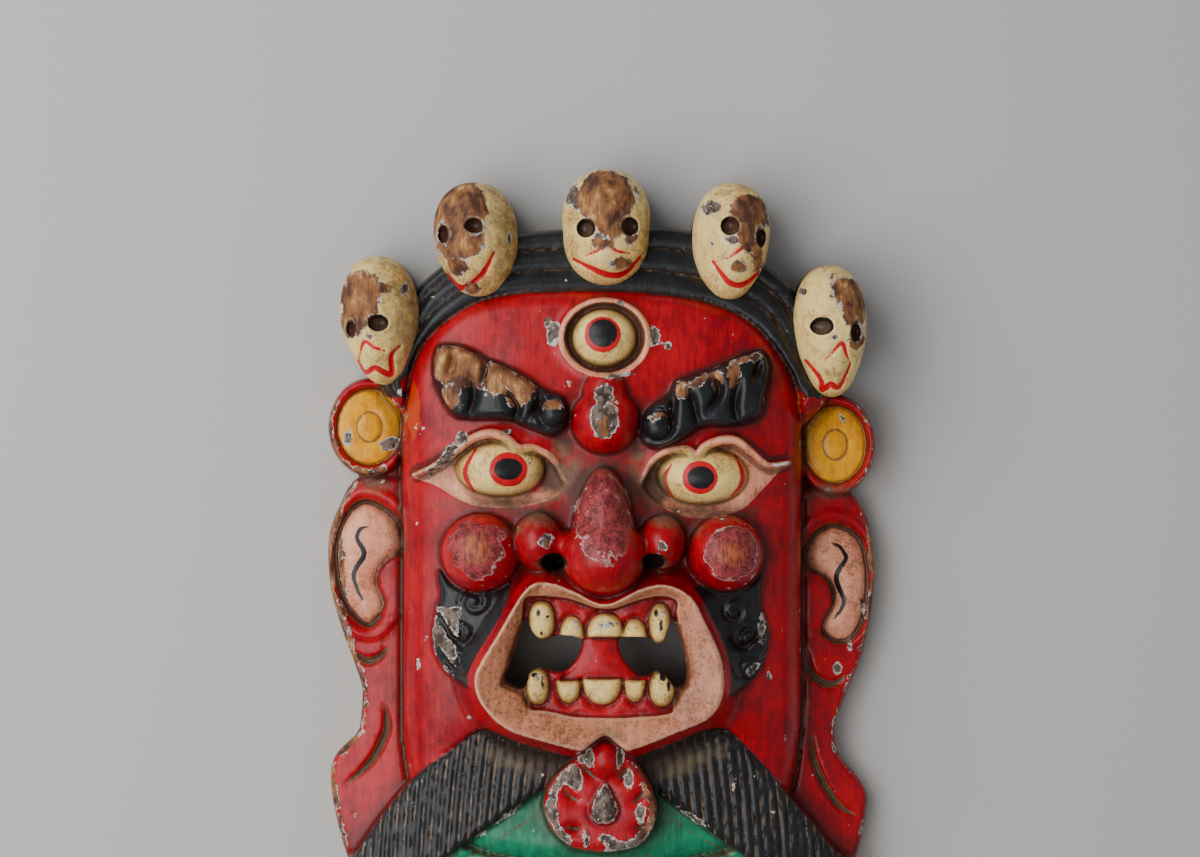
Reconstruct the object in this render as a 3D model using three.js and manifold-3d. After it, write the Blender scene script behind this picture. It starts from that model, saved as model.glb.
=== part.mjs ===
// A carved and painted wooden dance mask: a wrathful face with three eyes, fangs and long ears,
// a crown of five skulls, round earrings, a ridged beard and a jewel on its collar.
// Millimetres. The mask lies on its back: +X is its viewer's right, +Y the top of the head, and
// +Z comes out of the face. The flat rim of its back is at z = 0. All of it is one piece of wood.

import * as THREE from 'three';
import { mergeVertices } from 'three/addons/utils/BufferGeometryUtils.js';
import Module from 'manifold-3d';

const wasm = await Module();
wasm.setup();

// Driving heights above the flat back
const EAR_BOARD = 26;
const FACE_SIDE = 45;
const FACE_RISE = 35;
const FACE_HALF_WIDTH = 132;
const BAND_STEPS = [44, 49, 54];
const SKULL_CENTRE = 52;
const SKULL_HALF_DEPTH = 32;
const BROW_HEIGHT = 15;
const LIP_TOP = 106;
const GUM_TOP = 94;
const BEARD_CENTRE = 74;
const BEARD_FALL = 34;
const COLLAR_EDGE = 28;
const COLLAR_RISE = 36;
const JEWEL_TOP = 93;

// The hollow that the wearer's head goes into, a bowl with steep sides
const HOLLOW = { y: -15, halfWidth: 106, halfHeight: 200, depth: 58, fullness: 2.5 };

// Beyond the highest and the lowest wood, for cuts that go right through
const ABOVE = 200;
const BELOW = -10;

// Sides and steps of the simple forms
const FINE_GROOVE = { sides: 3, steps: 3 };
const HOLLOW_SIDES = 18;
const HOLLOW_RINGS = 6;

const smoothstep = THREE.MathUtils.smoothstep;

// Height of the red face at a place: a shallow dome that falls back at the hairline and the chin.
function faceHeight(x, y) {
  const hairline = smoothstep(y, 105, 205);
  const chin = smoothstep(-y, 60, 150);
  const across = Math.max(0, 1 - Math.abs(x / FACE_HALF_WIDTH) ** 2.6) ** 0.6;
  return FACE_SIDE - 9 * chin + FACE_RISE * across * (1 - 0.45 * hairline) * (1 - 0.25 * chin);
}

// Height of the green collar, a dome that falls to the lower edge.
function collarHeight(x, y) {
  const fall = 1 - (x / 168) ** 2 - ((y + 125) / 150) ** 2;
  return COLLAR_EDGE + COLLAR_RISE * Math.sqrt(Math.max(0, fall));
}

// Height of the beard's ridges, highest under the mouth.
function beardHeight(x) {
  return BEARD_CENTRE - BEARD_FALL * (Math.abs(x) / 165) ** 2;
}

// A closed geometry as a solid that can be joined and cut.
function solid(geometry) {
  geometry.deleteAttribute('normal');
  geometry.deleteAttribute('uv');
  const merged = mergeVertices(geometry, 1e-3);
  return new wasm.Manifold(new wasm.Mesh({
    numProp: 3,
    vertProperties: merged.attributes.position.array,
    triVerts: new Uint32Array(merged.index.array),
  }));
}

// Moves every corner of a geometry by a function of its place.
function shaped(geometry, move) {
  const place = geometry.attributes.position;
  const corner = new THREE.Vector3();
  for (let i = 0; i < place.count; i += 1) {
    move(corner.fromBufferAttribute(place, i));
    place.setXYZ(i, corner.x, corner.y, corner.z);
  }
  return geometry;
}

// A smooth closed outline through a few corners.
function outline(corners, stepsPerSpan = 3) {
  const points = corners.map(([x, y]) => new THREE.Vector3(x, y, 0));
  const curve = new THREE.CatmullRomCurve3(points, true, 'centripetal');
  return curve.getSpacedPoints(Math.round(corners.length * stepsPerSpan)).slice(0, -1);
}

// A slab of an outline with sloped upper and lower edges, laid on a height function if given.
function slab(corners, low, high, { round = 0, spans = 3, over = null } = {}) {
  const shape = new THREE.Shape(outline(corners, spans));
  const geometry = new THREE.ExtrudeGeometry(shape, {
    depth: high - low - 2 * round,
    bevelEnabled: round > 0,
    bevelSize: round,
    bevelThickness: round,
    bevelOffset: -round,
    bevelSegments: 1,
  });
  geometry.translate(0, 0, low + round);
  if (over) {
    shaped(geometry, (corner) => { corner.z += over(corner.x, corner.y); });
  }
  return solid(geometry);
}

// A block whose top follows a height function, cut to an outline.
function domed(corners, height, columns, rows, spans = 3) {
  const edge = outline(corners, spans);
  const box = new THREE.Box3().setFromPoints(edge);
  const size = box.getSize(new THREE.Vector3());
  const centre = box.getCenter(new THREE.Vector3());
  const block = new THREE.BoxGeometry(size.x + 2, size.y + 2, 1, columns, rows, 1);
  block.translate(centre.x, centre.y, 0);
  shaped(block, (corner) => { corner.z = corner.z > 0 ? height(corner.x, corner.y) : BELOW; });
  return solid(block).intersect(slab(corners, 0, ABOVE, { spans }));
}

function ellipsoid(x, y, z, halfX, halfY, halfZ, around = 9, rings = 6) {
  const ball = new THREE.SphereGeometry(1, around, rings);
  ball.rotateX(Math.PI / 2);
  return solid(ball.scale(halfX, halfY, halfZ).translate(x, y, z));
}

// A round bar along a curve. Its radius is a number, or a function from 0 at its start to 1.
function bar(points, radius, { sides = 4, steps = 6 } = {}) {
  const curve = new THREE.CatmullRomCurve3(points, false, 'centripetal');
  const thickness = typeof radius === 'function' ? radius : () => radius;
  const rod = new THREE.CylinderGeometry(1, 1, 1, sides, steps);
  const up = new THREE.Vector3(0, 0, 1);
  return solid(shaped(rod, (corner) => {
    const along = THREE.MathUtils.clamp(0.5 - corner.y, 0, 1);
    const tangent = curve.getTangent(along);
    const side = tangent.clone().cross(up).normalize();
    const lift = side.clone().cross(tangent).normalize();
    const r = thickness(along);
    const across = corner.x * r;
    const out = -corner.z * r;
    corner.copy(curve.getPoint(along)).addScaledVector(side, across).addScaledVector(lift, out);
  }));
}

// Points given across the face, each lifted to a height function plus a rise.
function lifted(corners, height, rise = 0) {
  return corners.map(([x, y]) => new THREE.Vector3(x, y, height(x, y) + rise));
}

// A radius that swells from thin ends to its full size in the middle.
const swelling = (full, thin = 0.4) => (t) => thin + (full - thin) * Math.sin(Math.PI * t) ** 0.6;

const joined = (solids) => solids.reduce((sum, next) => sum.add(next));

// Ear boards, lobes and the lower edge
const BOARD = [
  [-125, 66], [-148, 69], [-165, 62], [-174, 47], [-180, 28], [-181, 8], [-176, -17], [-168.5, -40],
  [-160, -63], [-157.5, -82], [-161, -101], [-173, -113], [-179, -126], [-177, -147], [-169, -179],
  [-153, -213], [-117, -244], [-62, -262], [0, -268], [62, -262], [117, -244], [153, -213],
  [169, -180], [175, -148], [173, -134], [159, -119], [153.5, -106], [155, -92], [167, -63],
  [176, -30], [181, 6], [178, 33], [169, 52], [150, 61], [125, 60],
];

// The groove round the pink inner ear, and the crescents cut into the lobe below it
const EARS = [
  {
    groove: [[-130, 30], [-140, 45], [-153, 52], [-167, 43], [-176, 20], [-175, 0], [-168, -18],
      [-156, -30], [-146, -29], [-141, -17], [-147, -2], [-142, 12], [-131, 19]],
    crescents: [
      [[-162, -47], [-154, -55], [-140, -44]],
      [[-144, -80], [-141, -98], [-149, -117], [-169, -135]],
    ],
  },
  {
    groove: [[131, 22], [140, 33], [154, 36], [168, 31], [176, 12], [176, -10], [170, -31],
      [160, -42], [148, -39], [144, -29], [151, -15], [150, -2], [142, 4], [132, 10]],
    crescents: [
      [[136, -47], [138, -63], [149, -70], [160, -63]],
      [[139, -102], [140, -122], [152, -145], [168, -155]],
    ],
  },
];

const EARRINGS = [
  { x: -152, y: 99.5, halfWidth: 27, halfHeight: 33 },
  { x: 154, y: 89, halfWidth: 27, halfHeight: 33 },
];
// Half profile of an earring: a rounded ring, a dished disc and a small raised ring
const EARRING_PROFILE = [
  [0, 0], [1, 0], [1, 25], [0.94, 32], [0.86, 33], [0.78, 29], [0.34, 31], [0.26, 34],
  [0.18, 31], [0, 31.5],
];

const FACE = [
  [-126, 135], [-114, 159], [-90, 178], [-66, 186], [-34, 189], [3, 189.5], [40, 187], [73, 181],
  [97, 169], [115, 150], [128, 127], [131.5, 90], [131, 20], [131, -60], [129, -110], [118, -150],
  [80, -176], [0, -186], [-80, -176], [-118, -150], [-129, -110], [-130, -60], [-130, 20], [-131, 90],
];

// The hair band, from its outer to its inner strip
const BAND_SPAN = [
  [-140, 118], [-139, 150], [-126, 184], [-105, 206], [-77, 222], [-45, 228.5], [0, 231], [45, 231],
  [80, 222], [107, 207], [128, 187], [143, 152], [144, 112],
];
const BAND_CENTRE = [1, 60];
const BAND_STRIPS = [1, 0.945, 0.885];

const SKULLS = [
  { x: -144, y: 169.5, halfWidth: 25, halfHeight: 42, jaw: 0.3, yaw: -32, lean: -5 },
  { x: -81.5, y: 222, halfWidth: 27, halfHeight: 37.5, jaw: 0.18, yaw: -24, lean: -6 },
  { x: 3, y: 230, halfWidth: 29.5, halfHeight: 38.5, jaw: 0.08, yaw: 0, lean: 0 },
  { x: 84, y: 221, halfWidth: 25, halfHeight: 38.5, jaw: 0.18, yaw: 24, lean: 4 },
  { x: 149, y: 162.5, halfWidth: 23.5, halfHeight: 43.5, jaw: 0.34, yaw: 32, lean: -2 },
];

const THIRD_EYE = { x: 2, y: 158, rimX: 27, rimY: 23.5, ballX: 20.5, ballY: 18.5 };

const BROWS = [
  {
    pad: [[-104, 153], [-84, 150], [-55, 136], [-37, 125], [-25, 119], [-20, 107], [-26, 96],
      [-42, 97], [-60, 104], [-88, 105], [-99, 111], [-109, 134]],
    locks: [[[-88, 136], [-84, 122], [-88, 105]], [[-78, 146], [-76, 134], [-76, 126]],
      [[-60, 128], [-54, 115], [-57, 104]], [[-43, 128], [-42, 117], [-45, 108]]],
    knob: [-31, 107, 8.5],
  },
  {
    pad: [[104, 150], [110, 133], [106, 110], [92, 101], [68, 99], [51, 91], [37, 86], [27, 89],
      [24, 99], [31, 112], [43, 120], [49, 130], [66, 137], [90, 147]],
    locks: [[[58, 122], [61, 112], [63, 101]], [[74, 130], [75, 120], [72, 112]],
      [[89, 124], [88, 113], [87, 103]], [[103, 145], [102, 138], [101, 131]]],
    knob: [36, 104, 8.5],
  },
];

// Each eye: its ball, its upper lid and its lower lid, from the outer corner of the left eye
const EYES = [
  {
    ball: [-64, 73, 29, 18],
    upper: [[-122, 69], [-108, 74], [-84, 92], [-71, 95], [-57, 88], [-45, 86], [-31, 79], [-24, 65]],
    lower: [[-121, 68], [-97, 57], [-78, 49.5], [-60, 49], [-38, 53], [-24, 64]],
  },
  {
    ball: [64.5, 69, 29, 18.5],
    upper: [[26, 65], [33, 78], [48, 86], [60, 83], [71, 90], [86, 91], [102, 79], [122, 77]],
    lower: [[26, 64], [40, 49], [62, 43], [86, 46], [104, 61], [121, 75]],
  },
];

const NOSE = {
  bridge: [1.5, 42, 86, 19, 33, 37],
  tip: [1.5, 17.5, 100, 26, 24, 29],
  wings: [[-41, 25.5, 88, 15, 17, 25], [39, 25, 88, 13.5, 15, 25]],
  base: [[-27, 20, 84, 15, 17, 25], [29, 20, 84, 15, 17, 25]],
  nostrils: [[-31, 13.5], [33.5, 13.5]],
};
const CHEEKS = [[-78, 19, 86, 25.5, 25, 26], [80, 18.5, 86, 24.5, 24.5, 26]];
const FOREHEAD_KNOB = [[2.5, 104, 82, 22, 20, 25], [3, 120, 80, 14, 19, 20]];

const LIPS = {
  outer: [[2.5, -13], [22, -4], [38, 0], [55, -6], [66, -23], [76, -46], [78.5, -68], [69, -86],
    [46, -98], [21, -106.5], [2.5, -111], [-15.5, -107], [-36, -102], [-61, -93.5], [-77, -79],
    [-81, -62], [-75, -46], [-64, -28], [-54, -10], [-39, 0], [-20, -5]],
  inner: [[2.5, -20], [24, -13], [42, -10], [49, -22], [54, -44], [56, -60], [48, -74], [34, -81],
    [2.5, -85], [-33, -81], [-50, -76], [-63, -64], [-60, -52], [-54, -36], [-49, -20], [-42, -10],
    [-22, -12]],
};
const MOUTH_HOLES = [
  [[-48.5, -25], [-54, -38], [-60, -54], [-62, -62], [-56, -67], [-50, -66], [-46, -58.5],
    [-38, -55], [-30, -58], [-22, -57], [-15, -48], [-12.5, -38], [-20, -34], [-30, -34], [-40, -35]],
  [[12, -36], [11, -42], [15, -51], [26, -61], [36, -58], [43, -61], [49, -68], [53.5, -65],
    [55, -57], [53, -42], [49, -30], [45, -24], [41, -33], [36, -38], [28, -35.5], [20, -34.5]],
];
const TONGUE = [[-14, -34], [0, -33], [12, -34], [13, -45], [22, -62], [0, -65], [-22, -62],
  [-15, -46]];
// Teeth: middle of each, half width, half height, and how far it stands above the gum
const UPPER_TEETH = [[-38.5, -24, 8, 13, 11], [-19, -29, 7, 7, 8], [2.5, -28, 10.5, 7, 8],
  [21.5, -30, 7.5, 6.5, 8], [37, -26.5, 7, 12.5, 11]];
const LOWER_TEETH = [[-41, -67, 7, 11, 11], [-21, -70, 7, 6.5, 8], [0.5, -70, 11.5, 6.5, 8],
  [21, -69, 6.5, 6, 8], [38.5, -67.5, 8, 11, 11]];

// Curled side whiskers: the pad, and each curl as its middle, outer radius and turning sense
const WHISKERS = [
  {
    pad: [[-104, 8], [-95, -3], [-76, -7], [-60, -3], [-66, -24], [-79, -44], [-83, -68],
      [-95, -63], [-106, -49], [-109, -35], [-106, -17]],
    curls: [[-84, -14, 9, 1], [-94, -32, 8, -1], [-97, -50, 8, 1]],
  },
  {
    pad: [[104, 6], [102, -6], [104, -18], [109, -32], [107, -46], [99, -62], [82, -73], [76, -45],
      [66, -22], [60, -3], [76, -8], [92, -4]],
    curls: [[84, -18, 9, -1], [94, -34, 8, 1], [94, -54, 8, -1]],
  },
];

const BEARD = [
  [0, -106], [-35, -104], [-62, -98], [-80, -96], [-99.5, -110], [-122, -128], [-143, -152],
  [-157, -173], [-165, -186], [-155, -206], [-128, -201], [-88, -173], [-57, -149], [-36, -134],
  [0, -118], [36, -136], [60, -155], [90, -177], [128, -203], [155, -207], [165, -187],
  [153, -174], [136, -155], [115, -131], [96, -110], [80, -96], [50, -98], [30, -104],
];
const RIDGE_PITCH = 7.6;
const RIDGE_DEPTH = 2.6;
const RIDGE_LEAN = 0.16;

const COLLAR = [
  [0, -112], [60, -140], [110, -180], [150, -205], [147, -214], [114, -240], [61, -257.5],
  [0, -263.5], [-61, -257.5], [-114, -240], [-147, -214], [-150, -205], [-110, -180], [-60, -140],
];
const COLLAR_GROOVES = [
  [[-38, -149], [-57, -161], [-82, -178], [-118, -204]],
  [[36, -148], [54, -160], [81, -178], [118, -205]],
  [[-30, -178], [-70, -206], [-96, -226]],
  [[30, -178], [70, -206], [96, -226]],
];

const JEWEL = [[2.5, -98], [18, -109], [30, -128], [36, -146], [31, -163], [17, -171.5], [3, -174],
  [-12, -173], [-28, -165], [-37.5, -147], [-32, -128], [-14, -109]];
const JEWEL_STONE = [[2, -128], [10.5, -146], [2, -156], [-7, -146]];
const JEWEL_PETALS = [[[-27, -131], [-20, -139], [-13, -142]], [[-17, -114], [-12, -122], [-3, -127]],
  [[26, -131], [22, -138], [18, -143]], [[18, -120], [14, -124], [10, -127]],
  [[-26, -157], [-19, -158], [-12, -157]], [[19, -157], [26, -156], [31, -154]]];

// A skull is an egg that narrows to its jaw and runs back to the board, with blind sockets and a
// cut mouth. It is shaped upright round its own middle, then turned and leant into its place.
function skull({ x, y, halfWidth, halfHeight, jaw, yaw, lean }) {
  const place = new THREE.Matrix4().makeRotationFromEuler(new THREE.Euler(
    0, THREE.MathUtils.degToRad(yaw), THREE.MathUtils.degToRad(-lean), 'ZYX'));
  place.setPosition(x, y, SKULL_CENTRE);
  const egg = shaped(new THREE.SphereGeometry(1, 11, 8), (corner) => {
    const round = Math.sqrt(1.0001 - corner.y ** 2);
    const full = Math.min(1.6, (1 - Math.abs(corner.y) ** 2.6) ** 0.4 / round);
    const wide = full * (1 - jaw * smoothstep(-corner.y, 0, 1));
    corner.set(corner.x * halfWidth * wide, corner.y * halfHeight, corner.z * SKULL_HALF_DEPTH * wide);
  });
  egg.applyMatrix4(place);
  shaped(egg, (corner) => { corner.z = corner.z < SKULL_CENTRE - 5 ? 0 : corner.z; });
  const sockets = [-1, 1].map((side) => {
    const cone = new THREE.ConeGeometry(1, 2, 6).rotateX(-Math.PI / 2);
    cone.scale(0.3 * halfWidth, 0.24 * halfHeight, 10);
    return solid(cone.translate(side * 0.45 * halfWidth, 0, 0.86 * SKULL_HALF_DEPTH)
      .applyMatrix4(place));
  });
  const smile = [[-0.62, -0.42, 0.68], [-0.3, -0.62, 0.8], [0, -0.66, 0.84], [0.3, -0.62, 0.8],
    [0.62, -0.42, 0.68]].map(([across, up, out]) => new THREE.Vector3(
    across * halfWidth * (1 - 0.4 * jaw), up * halfHeight,
    out * SKULL_HALF_DEPTH * (1 - 0.35 * jaw)).applyMatrix4(place));
  return solid(egg).subtract(joined(sockets)).subtract(bar(smile, 2, FINE_GROOVE));
}

function earring({ x, y, halfWidth, halfHeight }) {
  const profile = EARRING_PROFILE.map(([r, z]) => new THREE.Vector2(r, z));
  const disc = new THREE.LatheGeometry(profile, 13).rotateX(Math.PI / 2);
  return solid(disc.scale(halfWidth, halfHeight, 1).translate(x, y, 0));
}

function thirdEye({ x, y, rimX, rimY, ballX, ballY }) {
  const base = faceHeight(x, y);
  const rim = new THREE.TorusGeometry(1, 0.13, 4, 15);
  const moat = solid(new THREE.CylinderGeometry(1, 1, 20, 15).rotateX(Math.PI / 2)
    .scale(rimX, rimY, 1).translate(x, y, base + 9));
  return {
    cut: moat,
    add: solid(rim.scale(rimX, rimY, 40).translate(x, y, base + 1))
      .add(ellipsoid(x, y, base - 4, ballX, ballY, 20)),
  };
}

function brow({ pad, locks, knob }) {
  const [x, y, r] = knob;
  const rounded = slab(pad, -12, BROW_HEIGHT, { round: 5, spans: 1.3, over: faceHeight });
  const grooves = locks.map((lock) => bar(
    lifted(lock, faceHeight, BROW_HEIGHT + 1), swelling(3.2), FINE_GROOVE));
  return rounded.subtract(joined(grooves))
    .add(ellipsoid(x, y, faceHeight(x, y) + BROW_HEIGHT - 4, r, r, 9, 8, 4));
}

// The lids stand round an almond hollow that holds the ball.
function eye({ ball, upper, lower }) {
  const [x, y, halfX, halfY] = ball;
  const almond = [...upper, ...lower.slice(1, -1).reverse()];
  const middle = upper.length / 2;
  return {
    cut: slab(almond, -5, 40, { spans: 1, over: faceHeight }),
    add: joined([
      ellipsoid(x, y, faceHeight(x, y) - 8, halfX, halfY, 20),
      bar(lifted(upper, faceHeight, 1), (t) => 2.5 + 4 * Math.sin(Math.PI * t), { steps: 7 }),
      bar(lifted(lower, faceHeight, -1), (t) => 2 + 2.5 * Math.sin(Math.PI * t), { steps: 5 }),
      ellipsoid(upper[middle][0], upper[middle][1] + 4, faceHeight(x, y) - 8, 26, 14, 15, 7, 4),
    ]),
  };
}

function tooth([x, y, halfWidth, halfHeight, rise]) {
  const peg = new THREE.CylinderGeometry(0.8, 1, rise, 6, 1).rotateX(Math.PI / 2);
  return solid(peg.scale(halfWidth, halfHeight, 1).translate(x, y, GUM_TOP + rise / 2 - 1));
}

function curl([x, y, outer, sense]) {
  const turns = 1.4;
  const points = [];
  for (let i = 0; i <= 9; i += 1) {
    const t = i / 9;
    const angle = sense * (0.6 + t * turns * 2 * Math.PI);
    const reach = outer * (1 - 0.8 * t);
    points.push([x + reach * Math.cos(angle), y + reach * Math.sin(angle)]);
  }
  return bar(lifted(points, faceHeight, 8), (t) => 2.8 - 1.2 * t, { sides: 3, steps: 8 });
}

// One long saw-toothed roof leaning with the hair, cut to the beard's outline.
function beard() {
  const half = 172;
  const count = Math.round(half / RIDGE_PITCH);
  const sides = [-1, 1].map((side) => {
    const roof = new THREE.Shape();
    roof.moveTo(0, 10);
    for (let i = 0; i <= 2 * count; i += 1) {
      const x = side * i * RIDGE_PITCH / 2;
      roof.lineTo(x, beardHeight(x) - (i % 2 === 0 ? RIDGE_DEPTH : 0));
    }
    roof.lineTo(side * half, 10);
    const prism = new THREE.ExtrudeGeometry(roof, { depth: 130, bevelEnabled: false });
    prism.rotateX(Math.PI / 2).translate(0, -92, 0);
    shaped(prism, (corner) => { corner.x += side * RIDGE_LEAN * (corner.y + 92) * -1; });
    return solid(prism);
  });
  return joined(sides).intersect(slab(BEARD, 20, ABOVE, { spans: 1.2 }));
}

function jewel() {
  const body = slab(JEWEL, 50, JEWEL_TOP, { round: 5, spans: 1.3 });
  const petals = JEWEL_PETALS.map((line) => bar(
    lifted(line, () => JEWEL_TOP), swelling(2.6), FINE_GROOVE));
  const head = ellipsoid(2.5, -114, JEWEL_TOP - 4, 11, 12, 10, 8, 6);
  const stone = slab(JEWEL_STONE, 80, JEWEL_TOP + 4, { round: 2.5, spans: 2 });
  return body.subtract(joined(petals)).add(head).add(stone);
}

function hairBand() {
  const strips = BAND_STRIPS.map((scale, i) => {
    const arch = BAND_SPAN.map(([x, y]) => [
      BAND_CENTRE[0] + (x - BAND_CENTRE[0]) * scale, BAND_CENTRE[1] + (y - BAND_CENTRE[1]) * scale]);
    return slab(arch, 0, BAND_STEPS[i], { spans: 1.4 });
  });
  return joined(strips);
}

function board() {
  const flat = slab(BOARD, 0, EAR_BOARD, { round: 3, spans: 1 });
  const cuts = EARS.flatMap(({ groove, crescents }) => [
    bar(lifted(groove, () => EAR_BOARD + 0.5), 2.8, { sides: 3, steps: 14 }),
    ...crescents.map((line) => bar(
      lifted(line, () => EAR_BOARD + 0.5), swelling(3.6), FINE_GROOVE)),
  ]);
  return flat.subtract(joined(cuts));
}

function face() {
  const eyes = EYES.map(eye);
  const third = thirdEye(THIRD_EYE);
  const hollows = joined([third.cut, ...eyes.map(({ cut }) => cut)]);
  const nostrils = NOSE.nostrils.map(([x, y]) => ellipsoid(x, y, 106, 8, 5, 14, 7, 5));
  const features = [
    third.add,
    ...eyes.map(({ add }) => add),
    ...BROWS.map(brow),
    ...[...FOREHEAD_KNOB, ...CHEEKS, ...NOSE.wings, ...NOSE.base, NOSE.bridge, NOSE.tip]
      .map((knob) => ellipsoid(...knob)),
    ...WHISKERS.flatMap(({ pad, curls }) => [
      slab(pad, -10, 8, { round: 3, spans: 1.5, over: faceHeight }), ...curls.map(curl)]),
  ];
  return domed(FACE, faceHeight, 10, 11, 1.1).subtract(hollows).add(joined(features))
    .subtract(joined(nostrils));
}

function mouth() {
  const lips = slab(LIPS.outer, 50, LIP_TOP, { round: 6, spans: 1.5 });
  const gums = slab(LIPS.inner, 50, GUM_TOP, { spans: 1.5 });
  const tongue = slab(TONGUE, 60, GUM_TOP + 3, { round: 4, spans: 1.2 });
  return {
    add: lips.subtract(slab(LIPS.inner, 60, ABOVE, { spans: 1.5 })).add(gums).add(tongue),
    teeth: joined([...UPPER_TEETH, ...LOWER_TEETH].map(tooth)),
    holes: joined(MOUTH_HOLES.map((hole) => slab(hole, BELOW, ABOVE, { spans: 1.2 }))),
  };
}

// An oval bowl. Its radius shrinks with height as a full, steep-sided curve.
function hollow() {
  const { y, halfWidth, halfHeight, depth, fullness } = HOLLOW;
  const profile = [new THREE.Vector2(0, BELOW), new THREE.Vector2(1, BELOW)];
  for (let i = 0; i <= HOLLOW_RINGS; i += 1) {
    const height = Math.sin(i / HOLLOW_RINGS * Math.PI / 2);
    profile.push(new THREE.Vector2((1 - height ** fullness) ** (1 / fullness), height * depth));
  }
  const bowl = new THREE.LatheGeometry(profile, HOLLOW_SIDES).rotateX(Math.PI / 2);
  return solid(bowl.scale(halfWidth, halfHeight, 1).translate(0, y, 0));
}

function carve() {
  const { add, teeth, holes } = mouth();
  const folds = COLLAR_GROOVES.map((line) => bar(
    lifted(line, collarHeight, 0.8), 1.8, FINE_GROOVE));
  const collar = domed(COLLAR, collarHeight, 8, 5, 1.3).subtract(joined(folds));
  return joined([board(), hairBand(), face(), ...SKULLS.map(skull), ...EARRINGS.map(earring)])
    .subtract(slab(LIPS.inner, GUM_TOP, ABOVE, { spans: 1.5 }))
    .add(joined([add, collar, beard(), jewel()]))
    .subtract(holes)
    .add(teeth)
    .subtract(hollow());
}

// The triangles of the outer skin alone, so that a pocket sealed between two forms is solid wood.
function outerSkin(triangles, cornerCount) {
  const leader = Array.from({ length: cornerCount }, (_, i) => i);
  const find = (i) => {
    let root = i;
    while (leader[root] !== root) {
      root = leader[root];
    }
    leader[i] = root;
    return root;
  };
  for (let i = 0; i < triangles.length; i += 3) {
    leader[find(triangles[i + 1])] = find(triangles[i]);
    leader[find(triangles[i + 2])] = find(triangles[i]);
  }
  const sizes = new Map();
  triangles.forEach((corner) => sizes.set(find(corner), (sizes.get(find(corner)) ?? 0) + 1));
  const [skin] = [...sizes].sort((a, b) => b[1] - a[1])[0];
  return triangles.filter((corner) => find(corner) === skin);
}

// The origin is the middle of the mask's outline, on its flat back.
function finished(wood) {
  const { vertProperties, triVerts } = wood.getMesh();
  const skin = outerSkin(triVerts, vertProperties.length / 3);
  const whole = new THREE.BufferGeometry();
  whole.setAttribute('position', new THREE.BufferAttribute(vertProperties, 3));
  whole.setIndex(new THREE.BufferAttribute(skin, 1));
  const geometry = mergeVertices(whole.toNonIndexed(), 1e-5);
  geometry.computeBoundingBox();
  const middle = geometry.boundingBox.getCenter(new THREE.Vector3());
  geometry.translate(-middle.x, -middle.y, -geometry.boundingBox.min.z);
  geometry.computeVertexNormals();
  return geometry;
}

const lacquer = new THREE.MeshStandardMaterial({ color: 0xb81c24, roughness: 0.4, metalness: 0 });
const mask = new THREE.Mesh(finished(carve()), lacquer);
mask.name = 'mask';

const group = new THREE.Group();
group.add(mask);
export default group;
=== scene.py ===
# %% [markdown]
# # A carved and painted dance mask
# The mask is one block of wood, carved in relief and painted with gloss enamel. It lies on its back and
# looks straight up, so +X is its viewer's right, +Y the top of the head and +Z comes out of the face.
# All shapes below are given in millimetres on the front of the mask, because a carver also draws the
# outline first and then cuts down to a depth. Blender gets them in metres.

# %% Load the frame
import math
import bpy
import bmesh
import numpy as np
from mathutils import Euler, Matrix, Vector


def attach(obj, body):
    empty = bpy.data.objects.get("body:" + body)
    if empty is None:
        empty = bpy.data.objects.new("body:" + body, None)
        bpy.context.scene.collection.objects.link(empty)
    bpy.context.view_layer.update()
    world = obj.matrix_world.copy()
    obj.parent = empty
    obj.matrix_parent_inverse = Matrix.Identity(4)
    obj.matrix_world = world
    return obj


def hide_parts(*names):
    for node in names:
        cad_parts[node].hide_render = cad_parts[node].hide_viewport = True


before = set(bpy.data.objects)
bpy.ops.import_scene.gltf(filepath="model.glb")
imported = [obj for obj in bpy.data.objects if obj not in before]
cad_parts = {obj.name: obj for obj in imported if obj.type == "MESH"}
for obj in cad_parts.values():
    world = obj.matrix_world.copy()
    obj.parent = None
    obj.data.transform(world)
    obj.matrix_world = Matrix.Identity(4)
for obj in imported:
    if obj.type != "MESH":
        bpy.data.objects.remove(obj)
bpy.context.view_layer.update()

MM = 0.001

# %% [markdown]
# ## The camera
# The photo is taken straight from the front with a long lens, about three metres away, so the relief
# shows almost no perspective.

# %% Camera
camera = bpy.data.objects.new("camera", bpy.data.cameras.new("camera"))
camera.data.lens = 135
camera.data.sensor_width = 36
camera.data.clip_end = 20
camera.location = (-0.000975, 0.0991, 2.985)
bpy.context.collection.objects.link(camera)
bpy.context.scene.camera = camera
print("camera height:", camera.location.z)

# %% [markdown]
# ## Drawing helpers
# Every carved form starts as a smooth outline through a few points. The distance to that outline,
# positive inside, does two jobs: it says how far the cut has sloped, and later where the paint ends.
# Numpy works the distance out for all points at once, which is why this stays quick.

# %% Outlines and distances


def smooth(corners, closed=True, steps=6):
    """A smooth line through the corners, as an array of points."""
    p = np.array(corners, float)
    if closed:
        q = np.vstack([p[-1:], p, p[:2]])
    else:
        q = np.vstack([2 * p[:1] - p[1:2], p, 2 * p[-1:] - p[-2:-1]])
    t = np.linspace(0, 1, steps, endpoint=False)[:, None]
    spans = [
        0.5 * (2 * b + (c - a) * t + (2 * a - 5 * b + 4 * c - d) * t**2 + (3 * b - a - 3 * c + d) * t**3)
        for a, b, c, d in zip(q, q[1:], q[2:], q[3:])
    ]
    line = np.vstack(spans)
    return line if closed else np.vstack([line, p[-1:]])


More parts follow.
